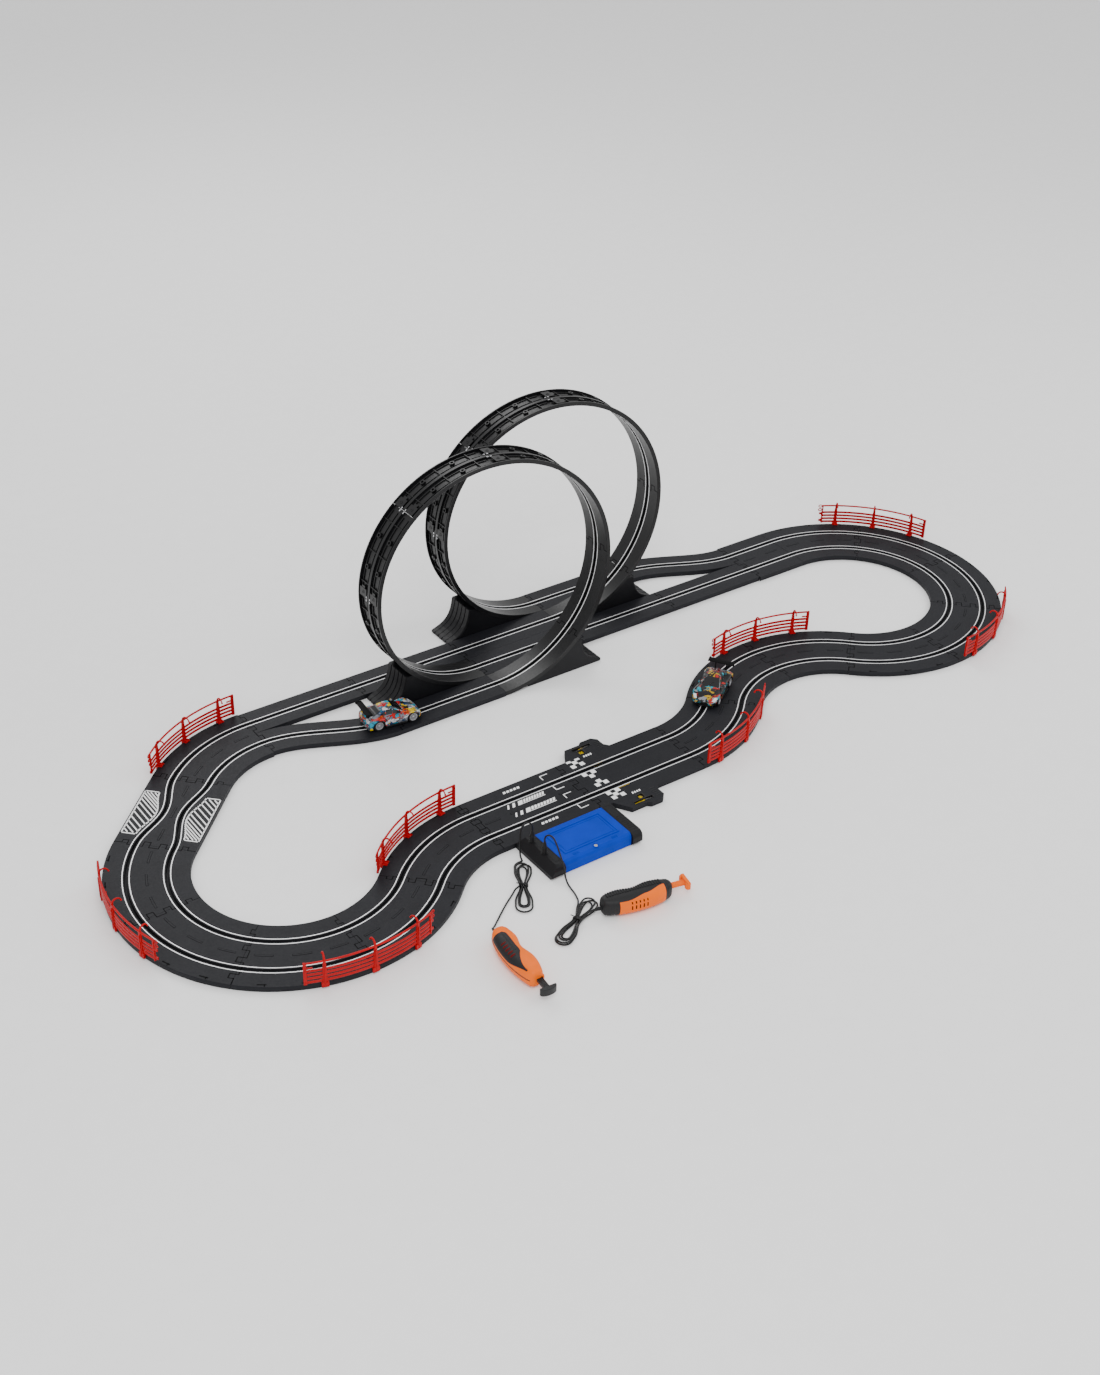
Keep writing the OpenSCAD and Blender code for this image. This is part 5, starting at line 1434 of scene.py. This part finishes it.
def along_car(values, x):
    """Smooth curve through one of the car's tables."""
    i = max(k for k in range(len(CAR_X) - 1) if CAR_X[k] <= x or k == 0)
    span = CAR_X[i + 1] - CAR_X[i]
    t = min(1.0, max(0.0, (x - CAR_X[i]) / span))
    before = values[max(i - 1, 0)]
    after = values[min(i + 2, len(values) - 1)]
    a, b = values[i], values[i + 1]
    if i == 0:
        before = 2 * a - b
    slope_a, slope_b = (b - before) * 0.4, (after - a) * 0.4
    return (
        a * (2 * t ** 3 - 3 * t ** 2 + 1) + slope_a * (t ** 3 - 2 * t ** 2 + t)
        + b * (3 * t ** 2 - 2 * t ** 3) + slope_b * (t ** 3 - t ** 2))


def arch_z(x):
    for wheel in (-WHEELBASE / 2, WHEELBASE / 2):
        if abs(x - wheel) < ARCH_R:
            return max(SILL_Z, AXLE_Z + math.sqrt(ARCH_R ** 2 - (x - wheel) ** 2) * 0.86)
    return SILL_Z


def car_surface(x, u, out=0.0):
    """Point of the shell: u runs from 0 at the left sill over 1 on the roof to 2 at the right sill."""
    side = 1 if u <= 1 else -1
    v = u if u <= 1 else 2 - u
    half = along_car(CAR_HALF, x)
    shoulder = along_car(CAR_SHOULDER, x)
    roof = along_car(CAR_ROOF, x)
    top = along_car(CAR_TOP_HALF, x)
    low = min(arch_z(x), shoulder - 1.2)
    profile = (
        (half - 0.7, low), (half, low + 0.45 * (shoulder - low)), (half - 0.2, shoulder - 1.2),
        (half - 1.8, shoulder), (top + 1.6, shoulder + 0.18 * (roof - shoulder)),
        (top, shoulder + 0.82 * (roof - shoulder)), (top - 2.6, roof - 0.15), (0, roof))
    position = v * (len(profile) - 1)
    i = min(int(position), len(profile) - 2)
    t = position - i
    (y0, z0), (y1, z1) = profile[i], profile[i + 1]
    y, z = y0 + (y1 - y0) * t, z0 + (z1 - z0) * t
    normal = Vector((0, z1 - z0, y0 - y1))
    normal = normal.normalized() if normal.length else Vector((0, 0, 1))
    if normal.z < 0 and normal.y < 0:
        normal = -normal
    point = Vector((x, y, z)) + normal * out
    return Vector((point.x, side * point.y, point.z))


def car_xs():
    return [CAR_X[0] + 0.5 * k for k in range(int(2 * (CAR_X[-1] - CAR_X[0])) + 1)]


def car_patch(shape, matrix, x0, x1, u0, u1, out, slot, n, m):
    """Panel on the shell, and the same on its other side."""
    def surface(x, u, d):
        return matrix @ car_surface(x, u, d)
    low = u0 if callable(u0) else (lambda x: u0)
    high = u1 if callable(u1) else (lambda x: u1)
    for start, end in ((low, high), (lambda x: 2 - high(x), lambda x: 2 - low(x))):
        patch(shape, surface, x0, x1, start, end, out, n, m, slot, CAR_PATCH_DEEP)


def car_shell(n, matrix):
    body = Shape()
    us = [i / 42 for i in range(85)]
    rings = []
    for x in car_xs():
        ring = [matrix @ car_surface(x, u) for u in us]
        # the underside of the shell, inside its edges
        inner = along_car(CAR_HALF, x) - 2.2
        low = min(arch_z(x), along_car(CAR_SHOULDER, x) - 1.2)
        deep = min(low + 1.5, along_car(CAR_SHOULDER, x) - 0.6)
        ring += [matrix @ Vector((x, -inner, deep)), matrix @ Vector((x, inner, deep))]
        rings.append(ring)
    body.sweep(rings)
    # bonnet vents, gaps round the doors, door handles, and gaps round the bonnet and boot
    paint = 0
    car_patch(body, matrix, 18, 27, 0.86, 0.98, 0.5, paint, 8, 3)
    car_patch(body, matrix, 19, 26, 0.885, 0.955, 0.62, 1, 6, 3)
    for x in (-15, 9.5):
        car_patch(body, matrix, x, x + 0.5, 0.08, 0.42, 0.06, 1, 1, 8)
    car_patch(body, matrix, -15, 9.5, 0.075, 0.085, 0.06, 1, 20, 1)
    car_patch(body, matrix, -10, -6, 0.30, 0.325, 0.5, paint, 4, 2)
    for x in (11, 33):
        car_patch(body, matrix, x, x + 0.45, 0.45, 1.0, 0.06, 1, 1, 10)
    car_patch(body, matrix, -27, -26.5, 0.45, 1.0, 0.06, 1, 1, 10)
    # side intake behind the door
    car_patch(body, matrix, -20.5, -16, 0.2, 0.36, 0.25, paint, 5, 4)
    car_patch(body, matrix, -19.8, -16.6, 0.22, 0.34, 0.36, 1, 5, 4)
    # roof scoop
    rings = []
    for x, w, h in ((-17, 3.2, 1.2), (-9, 3.6, 1.6), (-5, 3.4, 1.4), (-3.6, 3.1, 0.6)):
        z = along_car(CAR_ROOF, x) - 0.4
        rings.append([matrix @ Vector((x, y, z + dz)) for y, dz in (
            (-w, 0), (-w * 0.8, h), (w * 0.8, h), (w, 0))])
    body.sweep(rings)
    for side in (-1, 1):
        # mirrors on short stalks
        body.box((8.6, side * 17.6 - 0.5, 19.8), (9.6, side * 17.6 + 0.5, 22.4), matrix, 1)
        body.box((7.6, side * 19.3 - 1.7, 21.8), (10.4, side * 19.3 + 1.7, 24.2), matrix, paint)
        # sill
        body.box((-17.5, side * 21.1 - 1.1, 3.4), (17.5, side * 21.1 + 1.1, 5.6), matrix, 1)
        # exhausts
        pipe = matrix @ moved(-46.4, side * 8, 6.2) @ turned(90, "Y")
        body.lathe([(0.8, -1.6), (0.8, 2), (1.4, 2), (1.4, -1.6)], pipe, 16, 3)
    # splitter under the nose, and skirt under the tail
    body.box((41.6, -15.5, 3.6), (46.6, 15.5, 5.0), matrix, 1)
    body.box((-46.8, -17, 4.6), (-43.6, 17, 7.6), matrix, 1)
    # grille, lamps and tail lamps
    for k in range(3):
        body.box((45.2 - 0.2 * k, -8.5, 5.6 + 1.2 * k), (46.6 - 0.2 * k, 8.5, 6.2 + 1.2 * k), matrix, 1)
    car_patch(body, matrix, 36.5, 42.5, 0.40, 0.60, 0.3, 2, 6, 4)
    car_patch(body, matrix, 36, 43, 0.385, 0.40, 0.34, 1, 6, 1)
    for side in (-1, 1):
        body.box((-47.1, side * 14 - 3.6, 10.2), (-45.8, side * 14 + 3.6, 12.6), matrix, 4)
        body.box((-47.0, side * 14 - 4.1, 9.7), (-46.1, side * 14 + 4.1, 13.1), matrix, 1)
    # vents in the tail panel
    for k in range(4):
        body.box((-47.0, -8, 8.4 + 1.3 * k), (-46.2, 8, 9.0 + 1.3 * k), matrix, 1)
    body.build(f"car_{n}_body", f"car_{n}_frame", [f"livery_{n}", "black", "lamp", "steel", "tail"],
               smooth=True, replaces=[f"car_{n}_shell"], slot=f"car_{n}_paint")


def car_glass(n, matrix):
    glass = Shape()
    out = 0.18
    # windscreen, side windows and rear window
    car_patch(glass, matrix, -1, 14.5, lambda x: 0.74 + 0.002 * (x + 1), 1.0, out, 0, 14, 8)
    car_patch(glass, matrix, -14, -3.5, 0.575, 0.72, out, 0, 12, 4)
    car_patch(glass, matrix, -2.5, 9.5, lambda x: 0.575, lambda x: 0.715 - 0.004 * (x + 2.5), out, 0, 12, 4)
    car_patch(glass, matrix, -23, -15.5, lambda x: 0.575, lambda x: 0.62 + 0.011 * (x + 23), out, 0, 8, 4)
    car_patch(glass, matrix, -35, -21.5, 0.80, 1.0, out, 0, 12, 8)
    # wiper
    glass.tube([matrix @ Vector((14.0, -3, 22.8)), matrix @ Vector((7, 4, 27.0))], 0.3, 6, 1)
    glass.build(f"car_{n}_glass", f"car_{n}_frame", ["window", "black"], smooth=True,
                replaces=[f"car_{n}_windows"], slot="window_plastic")


def car_rear_wing(n, matrix):
    wing = Shape()
    base = matrix @ moved(-WHEELBASE / 2 - 13, 0, 0)
    # blade with a wing's section
    section = ((-9, 34.2), (-8.2, 34.9), (-4, 35.3), (0.5, 34.6), (3, 33.4), (0, 33.4), (-4, 33.7))
    end_plate = ((-8.6, 32.0), (-9.4, 35.8), (-7, 36.2), (1.2, 35.2), (2.8, 33.0), (0.4, 32.0))
    strut = ((-1.6, 18.0), (1.4, 18.0), (-0.6, 33.9), (-2.8, 34.1))
    wing.sweep([[base @ Vector((x, y, z)) for x, z in section] for y in (-21, -10, 0, 10, 21)])
    for side in (-1, 1):
        for outline, y, half in ((end_plate, 21, 0.6), (strut, 9, 0.7)):
            wing.sweep([
                [base @ Vector((x, side * y + dy, z)) for x, z in outline] for dy in (-half, half)])
    wing.build(f"car_{n}_spoiler", f"car_{n}_frame", ["slot_shade_and_wing"], bevel=0.2, replaces=[f"car_{n}_wing"],
               slot="dark_plastic")


def wheel(shape, matrix):
    """Tyre with a shoulder and grooves, a dished rim with ten spokes, a centre cap and five nuts."""
    r, w = TYRE_D / 2, TYRE_W
    shape.lathe([
        (HUB_R + 0.1, 0), (r - 1.2, 0), (r - 0.35, 0.5), (r, 1.2), (r, 2.2), (r - 0.3, 2.3),
        (r - 0.3, 2.8), (r, 2.9), (r, w - 2.9), (r - 0.3, w - 2.8), (r - 0.3, w - 2.3),
        (r, w - 2.2), (r, w - 1.2), (r - 0.35, w - 0.5), (r - 1.0, w - 0.05), (r - 1.5, w),
        (r - 1.6, w - 0.2), (HUB_R + 0.7, w - 0.1), (HUB_R + 0.1, w - 0.7)], matrix, 56, 0)
    shape.lathe([
        (1.0, 0.2), (HUB_R + 0.2, 0.2), (HUB_R + 0.2, w - 0.6), (HUB_R + 0.5, w - 0.2),
        (HUB_R + 0.1, w + 0.05), (HUB_R - 0.5, w - 0.2), (HUB_R - 0.8, w - 2.4),
        (HUB_R - 1.0, w - 3.4), (1.0, w - 3.8)], matrix, 44, 1)
    for k in range(10):
        turn = matrix @ turned(36 * k)
        rings = []
        for x, z, half, thick in (
                (1.2, w - 1.2, 0.42, 1.0), (3.2, w - 1.4, 0.36, 0.9), (HUB_R - 0.3, w - 0.6, 0.5, 0.8)):
            rings.append([turn @ Vector((x, y, z + dz)) for y, dz in (
                (-half, -thick), (-half * 0.7, 0), (half * 0.7, 0), (half, -thick))])
        shape.sweep(rings, 1)
    shape.lathe([(0.05, w - 3.6), (0.05, w - 0.5), (1.3, w - 0.6), (1.8, w - 1.2), (1.8, w - 3.6)],
                matrix, 24, 1)
    for k in range(5):
        shape.lathe([(0.02, w - 1.4), (0.02, w - 0.7), (0.28, w - 0.8), (0.28, w - 1.4)],
                    matrix @ turned(72 * k + 18) @ moved(1.45, 0, 0), 8, 2)


def car_wheel_pair(n, matrix, x, name):
    shape = Shape()
    for side in (-1, 1):
        place = matrix @ moved(x, side * (TRACK_HALF - TYRE_W / 2), AXLE_Z) @ turned(-90 * side, "X")
        wheel(shape, place @ moved(0, 0, -TYRE_W / 2))
    shape.build(f"car_{n}_{name}_tyres", f"car_{n}_{name}", ["tyre", "rim", "black"], smooth=True,
                replaces=[f"car_{n}_{name}_wheels"], slot="tyre_rubber")


def add_cars():
    for n, (x, y, heading) in enumerate(CARS, 1):
        matrix = placed(x, y, CAR_LIFT, heading) @ moved(-GUIDE_X, 0, 0)
        car_shell(n, matrix)
        car_glass(n, matrix)
        car_rear_wing(n, matrix)
        car_wheel_pair(n, matrix, WHEELBASE / 2, "front")
        car_wheel_pair(n, matrix, -WHEELBASE / 2, "rear")
        for part, key, bevel in (
                ("chassis", "black", 0.15), ("motor", "steel", 0.2), ("pinion", "nylon", 0),
                ("crown_gear", "nylon", 0), ("front_axle", "steel", 0), ("rear_axle", "steel", 0),
                ("guide", "black", 0.1)):
            dress(f"car_{n}_{part}", key, bevel)


# ---- track pieces kept from the CAD, and the supports -------------------------------------------
def dress_track():
    for node in ("start_piece", "lap_counter_piece", "left_curves", "right_curves", "chicane_piece",
                 "half_straight", "lane_straights", "lane_s_curves"):
        dress(node, "track", 0.3)
    dress("loop_supports", "support", 0.4)


# ---- floor and light -----------------------------------------------------------------------------
FLOOR_HALF = 6.0
FLOOR_Z = -0.001
LIGHT_AIM = (0.1, 0.2, 0.05)


def add_floor():
    mesh = bpy.data.meshes.new("floor")
    half = FLOOR_HALF
    corners = [(-half, -half), (half, -half), (half, half), (-half, half)]
    mesh.from_pydata([(x, y, FLOOR_Z) for x, y in corners], [], [(0, 1, 2, 3)])
    mesh.materials.append(plastic("floor_white", (0.96, 0.96, 0.96), 0.7, 300, 0.02, 0.01))
    floor = bpy.data.objects.new("floor", mesh)
    bpy.context.scene.collection.objects.link(floor)


def add_light(name, x, y, z, size, power):
    data = bpy.data.lights.new(name, "AREA")
    data.shape = "DISK"
    data.size = size
    data.energy = power
    light = bpy.data.objects.new(name, data)
    bpy.context.scene.collection.objects.link(light)
    place = Vector((x, y, z))
    turn = (place - Vector(LIGHT_AIM)).to_track_quat("Z", "Y")
    light.matrix_world = Matrix.Translation(place) @ turn.to_matrix().to_4x4()


def add_world():
    world = bpy.data.worlds.new("studio")
    world.use_nodes = True
    background = world.node_tree.nodes["Background"]
    background.inputs["Color"].default_value = (1, 1, 1, 1)
    background.inputs["Strength"].default_value = 1.0
    bpy.context.scene.world = world


add_camera()
add_cords()
dress_track()
add_rails()
add_painted_slot_shade()
add_seams()
add_dashes()
add_edge_notches()
add_loops()
add_markings()
add_lap_counters()
add_fences()
add_battery_box()
add_controller_1()
add_controller_2()
add_cars()
add_floor()
add_light("key", -1.2, -1.6, 2.6, 1.6, 45)
add_light("fill", 2.4, -0.8, 1.8, 2.0, 22)
add_light("back", 0.6, 2.6, 2.2, 1.6, 25)
add_world()
